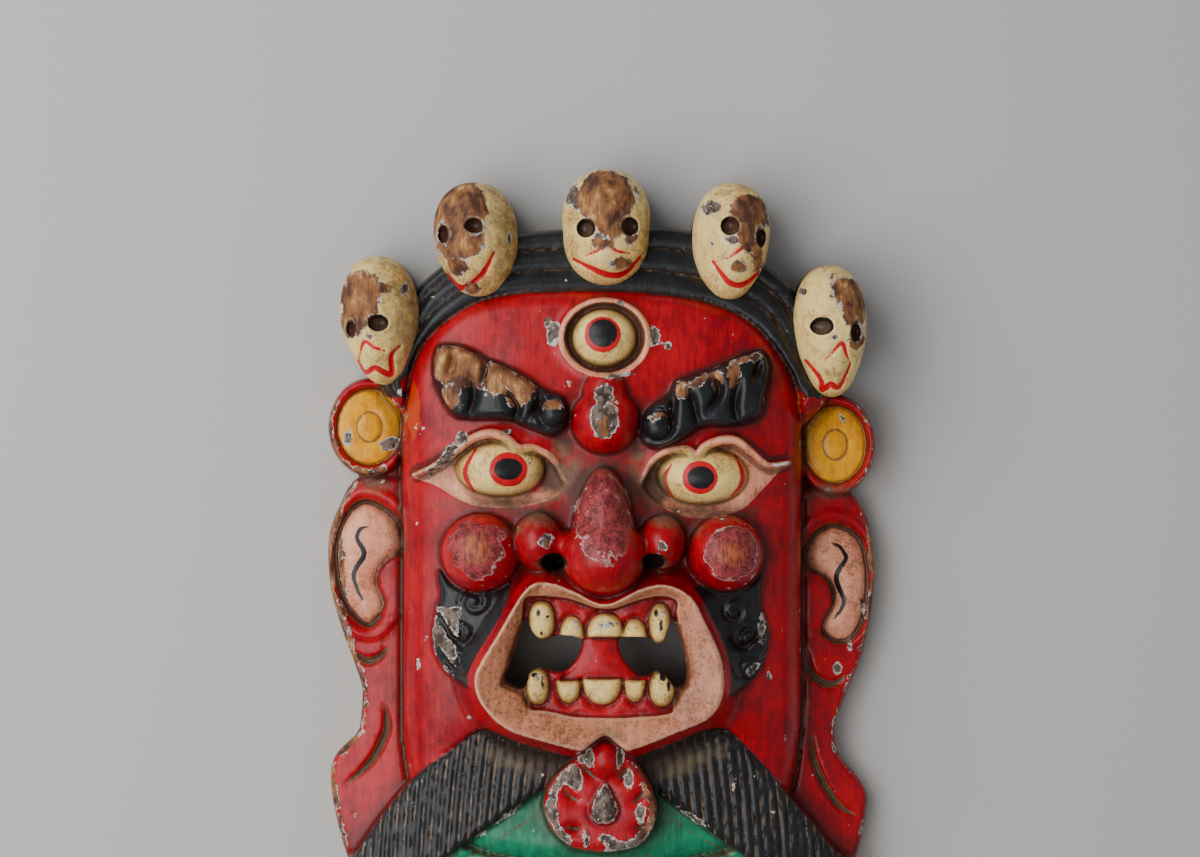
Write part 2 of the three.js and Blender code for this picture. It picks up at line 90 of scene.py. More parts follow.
def measure(xy, line, closed, margin):
    """Distance of each point to the line, how far along it that is (0 to 1), and if it is inside."""
    low, high = line.min(0) - margin, line.max(0) + margin
    near = np.nonzero(((xy > low) & (xy < high)).all(1))[0]
    x, y = xy[near].T
    best = np.full(len(near), 1e9)
    along = np.zeros(len(near))
    inside = np.zeros(len(near), bool)
    ends = np.roll(line, -1, 0) if closed else line[1:]
    starts = line if closed else line[:-1]
    for i, ((ax, ay), (bx, by)) in enumerate(zip(starts, ends)):
        dx, dy = bx - ax, by - ay
        t = np.clip(((x - ax) * dx + (y - ay) * dy) / (dx * dx + dy * dy + 1e-12), 0, 1)
        gap = (x - ax - t * dx) ** 2 + (y - ay - t * dy) ** 2
        closer = gap < best
        best = np.where(closer, gap, best)
        along = np.where(closer, (i + t) / len(starts), along)
        if closed and ay != by:
            inside ^= ((ay > y) != (by > y)) & (x < (bx - ax) * (y - ay) / (by - ay) + ax)
    return near, np.sqrt(best), along, inside


def depth_in(xy, line, margin=16):
    """Millimetres inside a closed outline, negative outside it."""
    near, gap, _, inside = measure(xy, line, True, margin)
    out = np.full(len(xy), -float(margin))
    out[near] = np.maximum(np.where(inside, gap, -gap), -margin)
    return out


def line_gap(xy, line, margin=16):
    """Millimetres to an open line, and how far along it the nearest point is."""
    near, gap, along, _ = measure(xy, line, False, margin)
    out, where = np.full(len(xy), float(margin)), np.zeros(len(xy))
    out[near], where[near] = np.minimum(gap, margin), along
    return out, where


print("a smooth ring through four corners has", len(smooth([(0, 0), (9, 0), (9, 9), (0, 9)])), "points")

# %% [markdown]
# ## Slopes and swellings
# A carver's blade leaves a few kinds of section: a slope, a quarter round, a ball, a soft bell and a
# stroke that starts thin, swells and ends thin. Each has its own small function here.

# %% Sections of a cut


def ramp(low, high, x):
    t = np.clip((x - low) / (high - low), 0, 1)
    return t * t * (3 - 2 * t)


def dome(depth, radius):
    """A quarter round: 0 at the edge, 1 from the radius inwards."""
    return np.sqrt(np.clip(1 - (1 - np.clip(depth / radius, 0, 1)) ** 2, 0, 1))


def cap(reach):
    """A half ball: 1 in the middle, 0 from a reach of 1 outwards."""
    return np.sqrt(np.clip(1 - reach**2, 0, 1))


def bell(reach):
    """A soft bell, 1 in the middle and almost 0 at a reach of 2."""
    return np.exp(-reach**2)


def taper(along, power=1.0, ends=0.0):
    """A stroke that is thin at both ends: 0 at each end, 1 halfway."""
    return np.sin(np.pi * np.clip(along, ends, 1 - ends)) ** power


def blend_max(a, b, k):
    """The higher of two heights, with a fillet about k wide where they meet."""
    h = np.clip(0.5 + 0.5 * (a - b) / k, 0, 1)
    return b * (1 - h) + a * h + k * h * (1 - h)


def lay(h, level, edge, soft=1.1):
    """Puts a level on the ground wherever the edge distance is positive, over a short steep slope."""
    return h + (level - h) * ramp(-soft, soft, edge)


def oval(xy, cx, cy, rx, ry):
    """Distance from an oval's middle, 1 on the oval."""
    return np.hypot((xy[:, 0] - cx) / rx, (xy[:, 1] - cy) / ry)


def inside_oval(xy, spot):
    """Millimetres inside an oval, negative outside it."""
    return (1 - oval(xy, *spot)) * min(spot[2:])


def waves(xy, size, seed):
    """Soft uneven waves from -1 to 1, about `size` millimetres long."""
    draw = np.random.default_rng(seed)
    total = np.zeros(len(xy))
    for _ in range(7):
        angle, phase = draw.uniform(0, 2 * math.pi, 2)
        pace = 2 * math.pi / (size * draw.uniform(0.7, 1.5))
        total += np.sin(pace * (xy[:, 0] * math.cos(angle) + xy[:, 1] * math.sin(angle)) + phase)
    return total / 3.5


print("halfway up a slope:", ramp(0, 1, 0.5), "and a quarter round:", dome(0.5, 1).round(2))

# %% [markdown]
# ## Boards, ears and earrings
# A relief carver thinks in levels: the board at the back, the face swelling out of it, and then each
# feature proud of the face. Each function below raises or cuts the height of the points that it covers.
# The boards carry long ears: a pink cushion in a moat, a ridge round it, and crescents cut with a gouge.
# An earring is a roll round a sunk disc.

# %% Boards, ears and earrings
BOARD = smooth([
    (-125, 66), (-148, 69), (-163.5, 64.5), (-172.5, 49), (-179, 32.5), (-180.3, 14), (-178.5, -7),
    (-173.5, -25.5), (-169.5, -38), (-162.5, -56.5), (-158, -71.5), (-158.5, -90.5), (-161.5, -102),
    (-174, -114.5), (-178.5, -126), (-177, -147), (-169, -179), (-153, -213), (-117, -244),
    (-62, -262), (0, -267.9), (62, -262), (117, -244), (153, -213), (169, -180), (175, -149),
    (174, -139), (167, -128), (157.5, -117.5), (154, -105.5), (154.5, -94.5), (159.5, -80),
    (166.5, -63.5), (172, -49), (177.5, -24), (180.3, 8), (177, 35), (171.5, 47), (164, 57), (150, 61),
    (125, 60)])
EARS = [
    {"pink": smooth([
        (-152.5, 49), (-141, 43), (-133.5, 32.5), (-131.5, 21), (-136.5, 15.5), (-144.5, 9.5),
        (-148.5, -1.5), (-145, -10.5), (-143.5, -17), (-147.5, -24), (-153.5, -29), (-161.5, -23),
        (-169.5, -11), (-173, 6), (-173.5, 19.5), (-171.5, 30.5), (-166, 42), (-159.5, 48)]),
     "tragus": (-137, -6, 13, 22),
     "squiggle": [(-153, 34.5), (-158.5, 33), (-161, 27), (-156.8, 19.5), (-156.5, 15), (-161, 8),
                  (-163, 1.5), (-160.5, -7), (-157, -14)],
     "crescents": [[(-162.5, -47.5), (-158.5, -52), (-152.5, -54), (-145.5, -51), (-140, -44)],
                   [(-144, -80), (-141.5, -91), (-142, -101), (-149, -116), (-158.5, -127),
                    (-169, -135.5)]]},
    {"pink": smooth([
        (153.5, 33.5), (163, 30), (170, 22), (173.5, 5), (172.5, -16), (169, -29.5), (163, -38),
        (155, -39.5), (147.5, -34.5), (146, -29), (153, -16), (154, -7), (149.5, 0.5), (142, 5.5),
        (136, 11.5), (136, 18.5), (142, 28.5), (147.5, 32)]),
     "tragus": (139, -16, 13, 20),
     "squiggle": [(152, 23.5), (157, 21), (161, 14), (157, 7.5), (154.5, 1), (157, -7), (159.5, -14),
                  (157.5, -20.5), (152.5, -26.5)],
     "crescents": [[(135.5, -45.5), (136, -55.5), (139, -63.5), (148, -69), (155.5, -68),
                    (160.5, -63)],
                   [(138.5, -101), (138.5, -112), (140.5, -122), (147.5, -137), (157.5, -150),
                    (168.5, -156)]]},
]
EARRINGS = [(-152.3, 100, 27.5, 32.5), (153.5, 88.5, 26.8, 33)]
BOARD_TOP, BOARD_ROLL, EAR_FALL = 26.5, 5, 6
EAR_FLOOR, EAR_CUSHION, EAR_FOLD, TRAGUS_RISE, CRESCENT_CUT = 17, 7.5, 4, 3.5, 6.5
MOAT, TRAGUS_MOAT = 3.8, 1.5
ROLL_BASE, ROLL_RISE, DISC_LEVEL = 23, 10, 28


def carve_board(xy, h):
    edge = depth_in(xy, BOARD, 20)
    outwards = ramp(128, 182, np.abs(xy[:, 0]))
    h = h + BOARD_TOP - BOARD_ROLL * (1 - dome(edge, 6))
    return h - EAR_FALL * outwards + outwards * 0.8 * waves(xy, 60, 3)


def carve_ears(xy, h):
    rim = depth_in(xy, BOARD, 20)
    for ear in EARS:
        edge = depth_in(xy, ear["pink"], 14)
        lobe = oval(xy, *ear["tragus"])
        wide = np.where(lobe < 1, TRAGUS_MOAT, MOAT)
        h = h + TRAGUS_RISE * cap(lobe)
        outside = np.clip(-edge - MOAT, 0, None)
        u = outside / np.maximum(outside + np.clip(rim, 0, None), 0.1)
        beside = (edge > -14) & (lobe > 1) & (xy[:, 1] > -46) & (rim > 0)
        fold = taper(u, 0.6) * ramp(14, 9, -edge) * ramp(-46, -34, xy[:, 1])
        h = np.where(beside, h + EAR_FOLD * fold, h)
        floor = EAR_FLOOR + EAR_CUSHION * dome(edge, 16)
        h = floor + (h - floor) * np.where(edge > 0, 0, ramp(0.5, 1, -edge / wide))
        for crescent in ear["crescents"]:
            gap, along = line_gap(xy, smooth(crescent, False))
            reach = 0.6 + 3.2 * taper(along, 0.7)
            h = h - CRESCENT_CUT * taper(along, 0.5) * np.clip(1 - gap / reach, 0, 1)
    return h


def carve_earrings(xy, h):
    for cx, cy, rx, ry in EARRINGS:
        e = oval(xy, cx, cy, rx, ry)
        roll = ROLL_BASE + ROLL_RISE * cap((e - 0.885) / 0.13)
        disc = DISC_LEVEL + 2 * (1 - (e / 0.78) ** 2) - 3 * bell((e - 0.77) * 26)
        disc = disc - 0.1 * (xy[:, 0] - cx)
        ring = 0.9 * ramp(0.32, 0.2, e) - 1.6 * bell((e - 0.3) * 24)
        form = lay(disc + ring, roll, (e - 0.79) * rx)
        h = lay(h, form, (1 - e) * rx)
    return h


print("board outline:", len(BOARD), "points; ears:", len(EARS), "and earrings:", len(EARRINGS))

# %% [markdown]
# ## Face and hair band
# The face is a shallow shield that falls away at the hairline, the sides and the chin, with a dark step
# round it. The hair band climbs away from the forehead in three strips.

# %% Face and hair band
FACE = smooth([
    (-126, 135), (-114, 159), (-90, 178), (-66, 186), (-34, 189), (3, 189.5), (40, 187), (73, 181),
    (97, 169), (115, 150), (128, 127), (131.5, 90), (131, 20), (131, -60), (129, -110), (118, -150),
    (80, -176), (0, -186), (-80, -176), (-118, -150), (-129, -110), (-130, -60), (-130, 20),
    (-131, 90)])
BAND = smooth([
    (-140, 118), (-139, 150), (-126, 184), (-105, 206), (-77, 222), (-45, 228.5), (0, 231), (45, 231),
    (80, 222), (107, 207), (128, 187), (143, 152), (144, 112), (60, 60), (-60, 60)])
HAIRLINE = smooth([
    (-127, 120), (-124, 137), (-113.5, 158), (-90, 177), (-66, 185.5), (-34, 188), (3, 188.5),
    (40, 186), (72.5, 179.5), (96, 168.5), (114, 150), (126, 128), (128, 112), (60, 60), (-60, 60)])
SHIELD_BASE, SHIELD_RISE, CHIN_FALL = 45, 35, 9
FACE_ROLL, FACE_SEAM = 13, 3.2
STRIPS, BAND_BASE, STRIP_STEP = 3, 43, 5


def face_level(x, y):
    hairline = ramp(105, 205, y)
    chin = ramp(60, 150, -y)
    across = np.clip(1 - np.abs(x / 132) ** 2.6, 0, 1) ** 0.6
    return SHIELD_BASE - CHIN_FALL * chin + SHIELD_RISE * across * (1 - 0.45 * hairline) * (1 - 0.25 * chin)


def carve_band(xy, h):
    outer, inner = depth_in(xy, BAND, 40), -depth_in(xy, HAIRLINE, 60)
    v = np.clip(outer / np.maximum(outer + inner, 0.1), 0, 1)
    strip = np.minimum((v * STRIPS).astype(int), STRIPS - 1)
    within = v * STRIPS - strip
    level = BAND_BASE + STRIP_STEP * strip + 3.5 * taper(within, 0.5) + 2 * within
    level = level - 8 * (1 - dome(outer, 5))
    return np.where(xy[:, 1] > 100, lay(h, level, outer), h)


def carve_face(xy, h):
    x, y = xy.T
    edge = depth_in(xy, FACE, 24)
    side = 14 - 3 * ramp(100, 160, y)
    level = face_level(x, y) - FACE_ROLL * (1 - dome(edge, side)) + 0.5 * waves(xy, 45, 8)
    seam = FACE_SEAM * ramp(4, 0.4, -edge) * ramp(118, 90, y) * (edge <= 0)
    return np.where(edge > 0, level, h - seam)


print("face panel:", np.ptp(FACE, axis=0).round(1), "mm")

# %% [markdown]
# ## Brows
# The brows are thick pads with rounded edges, cut into hair locks by deep curved grooves, and each ends
# in a knob near the nose. A pad is its outline and a quarter round, so it needs no mesh of its own.

# %% Brows
BROWS = [
    {"pad": smooth([
        (-104, 153.5), (-88.5, 151.5), (-72, 143.5), (-55.5, 136), (-42.5, 128.5), (-34.5, 123),
        (-25.5, 120), (-21, 111), (-21.5, 102), (-31, 94.5), (-43.5, 98), (-59, 104), (-75, 105),
        (-88.5, 105), (-96.5, 108.5), (-105, 122), (-109, 136), (-108, 147.5)]),
     "locks": [[(-86, 134), (-82, 121), (-87, 105)], [(-76, 147), (-74, 138), (-77, 128)],
               [(-62, 126), (-54, 113), (-57, 103)], [(-42, 128), (-40, 117), (-46, 106)],
               [(-97, 150), (-97, 140), (-100, 133)]],
     "knob": (-31, 109, 8.5)},
    {"pad": smooth([
        (104.5, 149.5), (110, 140), (109.5, 129.5), (106, 116), (104.5, 108), (95.5, 102.5), (81, 100),
        (67, 100), (51.5, 91.5), (37.5, 86.5), (27.5, 90), (24.5, 98), (27, 108), (32, 114),
        (42.5, 121), (48, 129.5), (64.5, 136), (81, 142.5), (93, 148)]),
     "locks": [[(57, 124), (60, 112), (63, 99)], [(72, 134), (76, 122), (68, 110)],
               [(89, 130), (86, 115), (88, 102)], [(103, 146), (101, 137), (99, 131)],
               [(46, 125), (46, 112), (44, 100)]],
     "knob": (36, 101, 9)},
]
BROW_RISE, BROW_ROLL, LOCK_CUT, LOCK_SWELL = 15, 7, 7, 2.2


def carve_brows(xy, h):
    for brow in BROWS:
        edge = depth_in(xy, brow["pad"], 8)
        rise = BROW_RISE * dome(edge, BROW_ROLL)
        for lock in brow["locks"]:
            gap, along = line_gap(xy, smooth(lock, False), 12)
            bite = taper(along, 0.5, 0.08)
            rise = rise - LOCK_CUT * bite * bell(gap / 2.4) - LOCK_SWELL * bite * bell(gap / 5.5)
        kx, ky, kr = brow["knob"]
        ring = oval(xy, kx, ky, kr, kr)
        rise = rise - 6 * bell((ring - 1.12) * 6)
        knob = 9 + 8.5 * cap(ring)
        rise = np.where(ring < 1, np.maximum(rise, knob), rise)
        h = np.where(edge > 0, h + np.maximum(rise, 0.5), h)
    return h


print("locks cut in each brow:", [len(brow["locks"]) for brow in BROWS])

# %% [markdown]
# ## Eyes
# Each eye is a ball in an almond hollow: the upper lid is a thin proud roll, and the lower lid is skin
# that slopes up to the cheek. The third eye is a ball in a round moat with a thin rim.

# %% Eyes
EYES = [
    {"ball": (-65, 73, 29.5, 18.3), "iris": (-60, 72.7, 12.4, 11.2), "pupil": (-60, 73, 9.1, 7),
     "upper": [(-121.5, 69), (-109, 74.5), (-97.5, 82), (-83.5, 92.5), (-70.5, 96), (-60, 91.5),
               (-54, 86.5), (-42.5, 86), (-31, 79), (-24, 65.5)],
     "lower": [(-122, 68), (-107.5, 63), (-96.5, 56.5), (-83.5, 50.5), (-64, 48.5), (-47.5, 50),
               (-31, 55), (-23, 64)],
     "arcs": [[(-81, 86), (-87.5, 74), (-87, 66), (-82, 58)],
              [(-36.5, 73.5), (-37.5, 66), (-42, 60.5), (-47, 57)]]},
    {"ball": (65, 68.5, 30, 19), "iris": (63.5, 67.5, 11.5, 10.8), "pupil": (64, 67.5, 8.7, 7.4),
     "upper": [(26, 65), (32, 77), (41.5, 84), (54.5, 85.5), (61.5, 81.5), (67, 87.5), (77.5, 91.5),
               (87.5, 91), (97.5, 83.5), (108, 75.5), (121, 77)],
     "lower": [(25.5, 65.5), (29, 57), (40, 48.5), (56.5, 42.5), (73, 42.5), (91, 48), (104, 60.5),
               (114, 71), (121, 75.5)],
     "arcs": [[(45, 76), (40.5, 67.5), (42.5, 60), (46.5, 55)],
              [(86.5, 82), (91, 70), (90, 62.5), (84, 55.5)]]},
]
THIRD_EYE = {"rim": (2, 158, 28.5, 24.8), "ball": (1.8, 157.7, 21, 19), "iris": (0.8, 159.8, 11.8, 11.6),
             "pupil": (0.8, 160.8, 9.3, 9)}
BROW_BONE, LID_SUNK, BALL_SUNK, BALL_RISE = 5, 5, 8, 18.5
THIRD_MOAT, THIRD_SUNK, THIRD_RISE = 7.5, 6.5, 16


def eye_lines(eye):
    """The upper lid line, and the almond that both lids make."""
    upper, lower = smooth(eye["upper"], False), smooth(eye["lower"], False)
    return upper, np.vstack([upper, lower[::-1]])


def carve_eyes(xy, h):
    for eye in EYES:
        cx, cy, rx, ry = eye["ball"]
        upper, almond = eye_lines(eye)
        base = float(face_level(np.array([cx]), np.array([cy]))[0])
        edge = depth_in(xy, almond, 30)
        gap, along = line_gap(xy, upper, 22)
        brow_bone = BROW_BONE * bell(gap / 11) * taper(along, 0.7, 0.02)
        h = h + np.where(edge < 0, brow_bone, 0)
        e = oval(xy, cx, cy, rx, ry)
        away = np.clip((e - 1) * 22, 0, None)
        skin = base - LID_SUNK + np.minimum(away, 12) * 0.55
        h = np.where(edge > 0, np.minimum(h + 1, skin), h)
        ball = base - BALL_SUNK + BALL_RISE * cap(e)
        h = lay(h, ball, np.minimum((1 - e) * ry, edge + 1), 0.8)
        lid = base + 4.5 + 6.5 * taper(along, 0.6, 0.03)
        wide = 1.6 + 1.6 * taper(along)
        roll = lid - 7 + 7 * cap(gap / wide)
        h = np.where(gap < wide, np.maximum(h, roll), h)
    return h


def carve_third_eye(xy, h):
    cx, cy, rx, ry = THIRD_EYE["rim"]
    base = float(face_level(np.array([cx]), np.array([cy]))[0])
    e = oval(xy, cx, cy, rx, ry)
    skin = 2.5 * bell(np.clip(e - 1, 0, None) * 9)
    h = h + np.where(e > 1, skin, 0)
    roll = base + 3.4 * cap((e - 0.965) / 0.075)
    h = np.where(np.abs(e - 0.965) < 0.075, np.maximum(h, roll), h)
    ball = oval(xy, *THIRD_EYE["ball"])
    moat = base - THIRD_MOAT + 3 * np.clip((e - 0.78) / 0.12, 0, 1)
    h = np.where(e < 0.89, moat, h)
    return np.where(ball < 1, base - THIRD_SUNK + THIRD_RISE * cap(ball), h)


print("eyes:", len(EYES) + 1)

# %% [markdown]
# ## Nose and knobs
# Nose, wings, cheek knobs and forehead knob are balls sunk in the face. Where a ball meets the face, the
# higher of the two wins, with a small fillet, as a rasp leaves it.

# %% Nose and knobs
# Each ball: its middle, the height of its middle, half width, half length, rise and fillet
KNOBS = [(2.5, 121, 78, 14.5, 15, 16, 5), (2.5, 104, 80, 22, 21, 24, 5),
         (-78, 19, 82, 25.5, 25, 27, 2), (80, 18.5, 82, 24.5, 24.5, 27, 2)]
WINGS = [(-41, 26, 82, 16.5, 18.5, 27, 2.5), (39, 25.5, 82, 15.5, 17.5, 27, 2.5)]
NOSE_TIP = (1.5, 17.5, 97, 27, 25.5, 30.5, 4)
CHEEKS = [(x, y, rx, ry) for x, y, _, rx, ry, _, _ in KNOBS[2:]]
NOSE_SIDES = [(-27, 68, 13, 22), (30, 63, 13, 22)]
WING_ARCHES = [[(-40, 30), (-30, 25), (-16, 24)], [(39, 29), (30, 25), (18, 24)]]
NOSTRILS = [(-31, 13.5, 8.6, 5.4), (33.5, 14, 8, 4.6)]
SIDE_HOLLOW, BRIDGE_BASE, BRIDGE_RISE, NOSTRIL_CUT = 4.5, 82, 36, 20
ARCH_HALF, ARCH_BASE, ARCH_RISE = 9, 84, 19


def bump_on(xy, h, cx, cy, cz, rx, ry, rz, fillet=3.0):
    """A ball sunk in the relief."""
    e = oval(xy, cx, cy, rx, ry)
    ball = cz + rz * cap(e)
    near = e < 1
    h[near] = blend_max(ball[near], h[near], fillet)
    return h


def carve_knobs(xy, h):
    for knob in KNOBS:
        h = bump_on(xy, h, *knob)
    return h


def carve_nose(xy, h):
    x, y = xy.T
    for side in NOSE_SIDES:
        h = h - SIDE_HOLLOW * np.exp(-(oval(xy, *side) ** 2) * 1.6)
    bridge_side = 21 - 4 * ramp(20, 70, y)
    e = np.hypot((x - 1.5) / bridge_side, (y - 36) / 38)
    h = np.where(e < 1, blend_max(BRIDGE_BASE + BRIDGE_RISE * cap(e), h, 5), h)
    for wing in WINGS:
        h = bump_on(xy, h, *wing)
    for arch in WING_ARCHES:
        gap = line_gap(xy, smooth(arch, False), 14)[0]
        near = gap < ARCH_HALF
        ridge = ARCH_BASE + ARCH_RISE * cap(gap[near] / ARCH_HALF)
        h[near] = blend_max(ridge, h[near], 3)
    h = bump_on(xy, h, *NOSE_TIP)
    for nostril in NOSTRILS:
        e = oval(xy, *nostril)
        h = h - NOSTRIL_CUT * cap(e) * (e < 1)
    return h


print("balls sunk in the face:", len(KNOBS) + len(WINGS) + 1)

# %% [markdown]
# ## Mouth
# The mouth is a raised frame: a red wall that climbs steeply from the cheeks, a broad pink lip, and
# inside it the gums. The teeth are rounded pegs proud of the gum, and two openings are cut right
# through beside the tongue for the wearer's breath.

# %% Mouth
LIPS = smooth([
    (-31.5, 0), (-43, 0), (-52, -8.5), (-66, -32), (-77, -50), (-81.5, -62), (-77, -77.5), (-61, -93.5),
    (-34, -102.5), (-15.5, -107), (2.5, -111), (21, -106.5), (48, -96), (69, -86.5), (78, -71),
    (77, -49), (66.5, -25), (57.5, -9), (41.5, -1), (25.5, -3.5), (2.5, -13.5), (-17, -5.5)])
MOUTH = smooth([
    (-49.5, -11), (-51.5, -25), (-55.5, -37), (-60.5, -52), (-64, -62.5), (-63, -67), (-51.5, -72),
    (-49, -77), (-45, -81.5), (-34.5, -82.5), (-18, -86), (6.5, -87), (26, -86), (42.5, -84.5),
    (47, -80.5), (51, -71.5), (55.5, -65), (56.5, -56), (54.5, -43.5), (51, -32), (48.5, -20.5),
    (48, -11.5), (38, -8.5), (24.5, -11), (2.5, -17), (-22, -10), (-42, -8.5)])
HOLES = [
    smooth([(-48.5, -22), (-54, -38), (-60, -54.5), (-63, -62), (-59, -66.5), (-51, -69), (-47.5, -63.5),
            (-46, -58.5), (-38, -55), (-30.5, -58), (-22.5, -57), (-15, -48), (-12.5, -37.5),
            (-18.5, -34), (-29.5, -34), (-37, -37), (-44.5, -31)]),
    smooth([(12, -35.5), (11, -40.5), (14.5, -50.5), (25.5, -61), (36, -58), (43, -62.5), (48, -69),
            (53, -67), (55, -58.5), (53, -42.5), (49, -31), (45, -22.5), (41.5, -32.5), (37.5, -39),
            (30, -35.5), (21, -34.5)])]
TONGUE = smooth([(-15, -33), (0, -32.5), (13, -33), (11.5, -40), (15.5, -51.5), (25.5, -64.5),
                 (0, -66.5), (-26.5, -64.5), (-17, -51.5), (-12.5, -40)])
# Each tooth: middle, half width, half height, rise, how square it is, and which side is flat
TEETH = [
    (-38.5, -24.5, 8.3, 12.5, 12, 2.4, 0), (-19, -29, 8, 7, 8, 2.1, -1), (2.5, -27.5, 12, 7.7, 8, 2.1, -1),
    (21.5, -30, 8, 6.4, 8, 2.1, -1), (37.5, -26.5, 7, 13, 12, 2.2, 0), (-41, -66.5, 7.3, 11.5, 11, 2.4, 0),
    (-21, -70, 7.8, 7, 8, 2.2, 1), (0.5, -70, 12.6, 8, 8, 2.1, 1), (21.5, -69.5, 7, 6.8, 8, 2.1, 1),
    (39, -68, 8.3, 11.5, 11, 2.2, 0)]
TOOTH_CHIPS = [(-40.5, -19, 1.1, 2.2), (-34.5, -21.5, 0.9, 1.1), (-38.5, -32, 1, 1), (39, -60, 1.6, 2.6),
               (43, -66, 1, 3), (-43, -59, 2, 1.2), (-38, -64, 0.8, 3), (38, -27, 1, 3.4), (35, -19, 1, 2)]
LIP_TOP, WALL_TOP, LIP_FALL, GUM_LEVEL, TONGUE_LEVEL, PEG_BASE = 105.6, 104, 7.5, 91.5, 88, 92
WALL_WIDE = 15


def tooth_reach(xy, tooth):
    """Distance from a tooth's middle, 1 on its outline; front teeth are flat on one side."""
    cx, cy, rx, ry, _, square, flat = tooth
    x, y = np.abs((xy[:, 0] - cx) / rx), (xy[:, 1] - cy) / ry
    if not flat:
        return (x**square + np.abs(y) ** square) ** (1 / square)
    up = (1 - flat * y) / 2
    return np.maximum((x**square + np.abs(up) ** square) ** (1 / square), 1 - up * 2 * ry / 4)


def carve_mouth(xy, h):
    lip, mouth = depth_in(xy, LIPS, 22), depth_in(xy, MOUTH, 26)
    away = np.clip(-lip, 0, None)
    wall = h + np.clip(WALL_TOP - h, 0, None) * np.clip(1 - away / WALL_WIDE, 0, 1) ** 1.7
    h = np.where((lip < 0) & (away < WALL_WIDE), np.maximum(wall, h), h)
    v = np.clip(lip / np.maximum(lip - mouth, 0.1), 0, 1)
    flesh = LIP_TOP - LIP_FALL * v**1.5 + 0.9 * bell((v - 0.1) / 0.12)
    flesh = flesh - 2 * (1 - dome(lip, 2)) + 0.25 * waves(xy, 9, 5)
    h = lay(h, flesh, lip, 0.6)
    gum = GUM_LEVEL + 3.2 * dome(mouth, 7) + 0.3 * waves(xy, 12, 6)
    h = lay(h, gum, mouth)
    bridge = depth_in(xy, TONGUE, 12)
    h = lay(h, TONGUE_LEVEL + 6 * dome(bridge, 14), bridge)
    for tooth in TEETH:
        e = tooth_reach(xy, tooth)
        h = h - 3 * bell((e - 1.12) * 9) * (e > 1)
        peg = PEG_BASE + tooth[4] * np.clip(1 - e**3.2, 0, 1) ** 0.5
        h = lay(h, peg, (1 - e) * tooth[2], 0.6)
    return h


print("teeth:", len(TEETH), "and openings:", len(HOLES))

# %% [markdown]
# ## Whiskers
# The side whiskers are pads with spiral curls. A spiral is a line that turns while its reach shrinks, and
# the gouge follows it, deepest halfway.

# %% Whiskers
WHISKERS = [
    {"pad": smooth([
        (-106, 8), (-97, -1), (-84, -6.5), (-66, -4), (-58, 0), (-66, -24), (-76, -42), (-82, -67.5),
        (-94, -64), (-105.5, -51), (-109.5, -37), (-107, -18.5), (-104.5, -8)]),
     "curls": [(-82.5, -13, 9.5, -1), (-93.5, -32, 8.5, 1), (-94.5, -50, 8, 1)],
     "strands": [[(-105, -22), (-98, -34), (-90, -40), (-83, -35)],
                 [(-106, -44), (-98, -55), (-90, -58), (-85, -50)]]},
    {"pad": smooth([
        (105, 6), (103.5, -4.5), (104, -18.5), (108.5, -31), (107.5, -45), (103, -57), (94, -67.5),
        (81, -73), (77, -43), (67, -20.5), (60, -2), (79, -6), (94, -3)]),
     "curls": [(86, -19, 9.5, 1), (96, -36, 8.5, -1), (96, -54, 8, -1)],
     "strands": [[(105, -26), (98, -38), (90, -42), (84, -36)],
                 [(106, -46), (98, -58), (90, -62), (84, -54)]]},
]
PAD_RISE, CURL_RISE, CURL_CUT = 7, 4.5, 5


def spiral(cx, cy, outer, sense, start=0.6, turns=1.35):
    t = np.linspace(0, 1, 26)
    angle = sense * (start + t * turns * 2 * math.pi)
    reach = outer * (1 - 0.82 * t)
    return np.column_stack([cx + reach * np.cos(angle), cy + reach * np.sin(angle)])


def carve_whiskers(xy, h):
    for whisker in WHISKERS:
        edge = depth_in(xy, whisker["pad"], 8)
        rise = PAD_RISE * dome(edge, 4)
        for cx, cy, r, _ in whisker["curls"]:
            e = oval(xy, cx, cy, r * 1.15, r * 1.15)
            rise = rise + CURL_RISE * cap(e)
        lines = [spiral(*curl) for curl in whisker["curls"]]
        lines += [smooth(strand, False) for strand in whisker["strands"]]
        for line in lines:
            gap, along = line_gap(xy, line, 6)
            rise = rise - CURL_CUT * (0.5 + 0.5 * taper(along)) * bell(gap / 1.7)
        h = np.where(edge > 0, h + np.maximum(rise, 0.3), h)
    return h


print("curls:", sum(len(whisker["curls"]) for whisker in WHISKERS))

# %% [markdown]
# ## Beard and collar
# The beard is a fan of narrow rolls with V cuts between them, which spreads under the mouth to both
# sides. One number, the strand phase, grows by one from each roll to the next, so a single formula cuts
# them all. Under it lies the green collar, a low dome with a few folds.

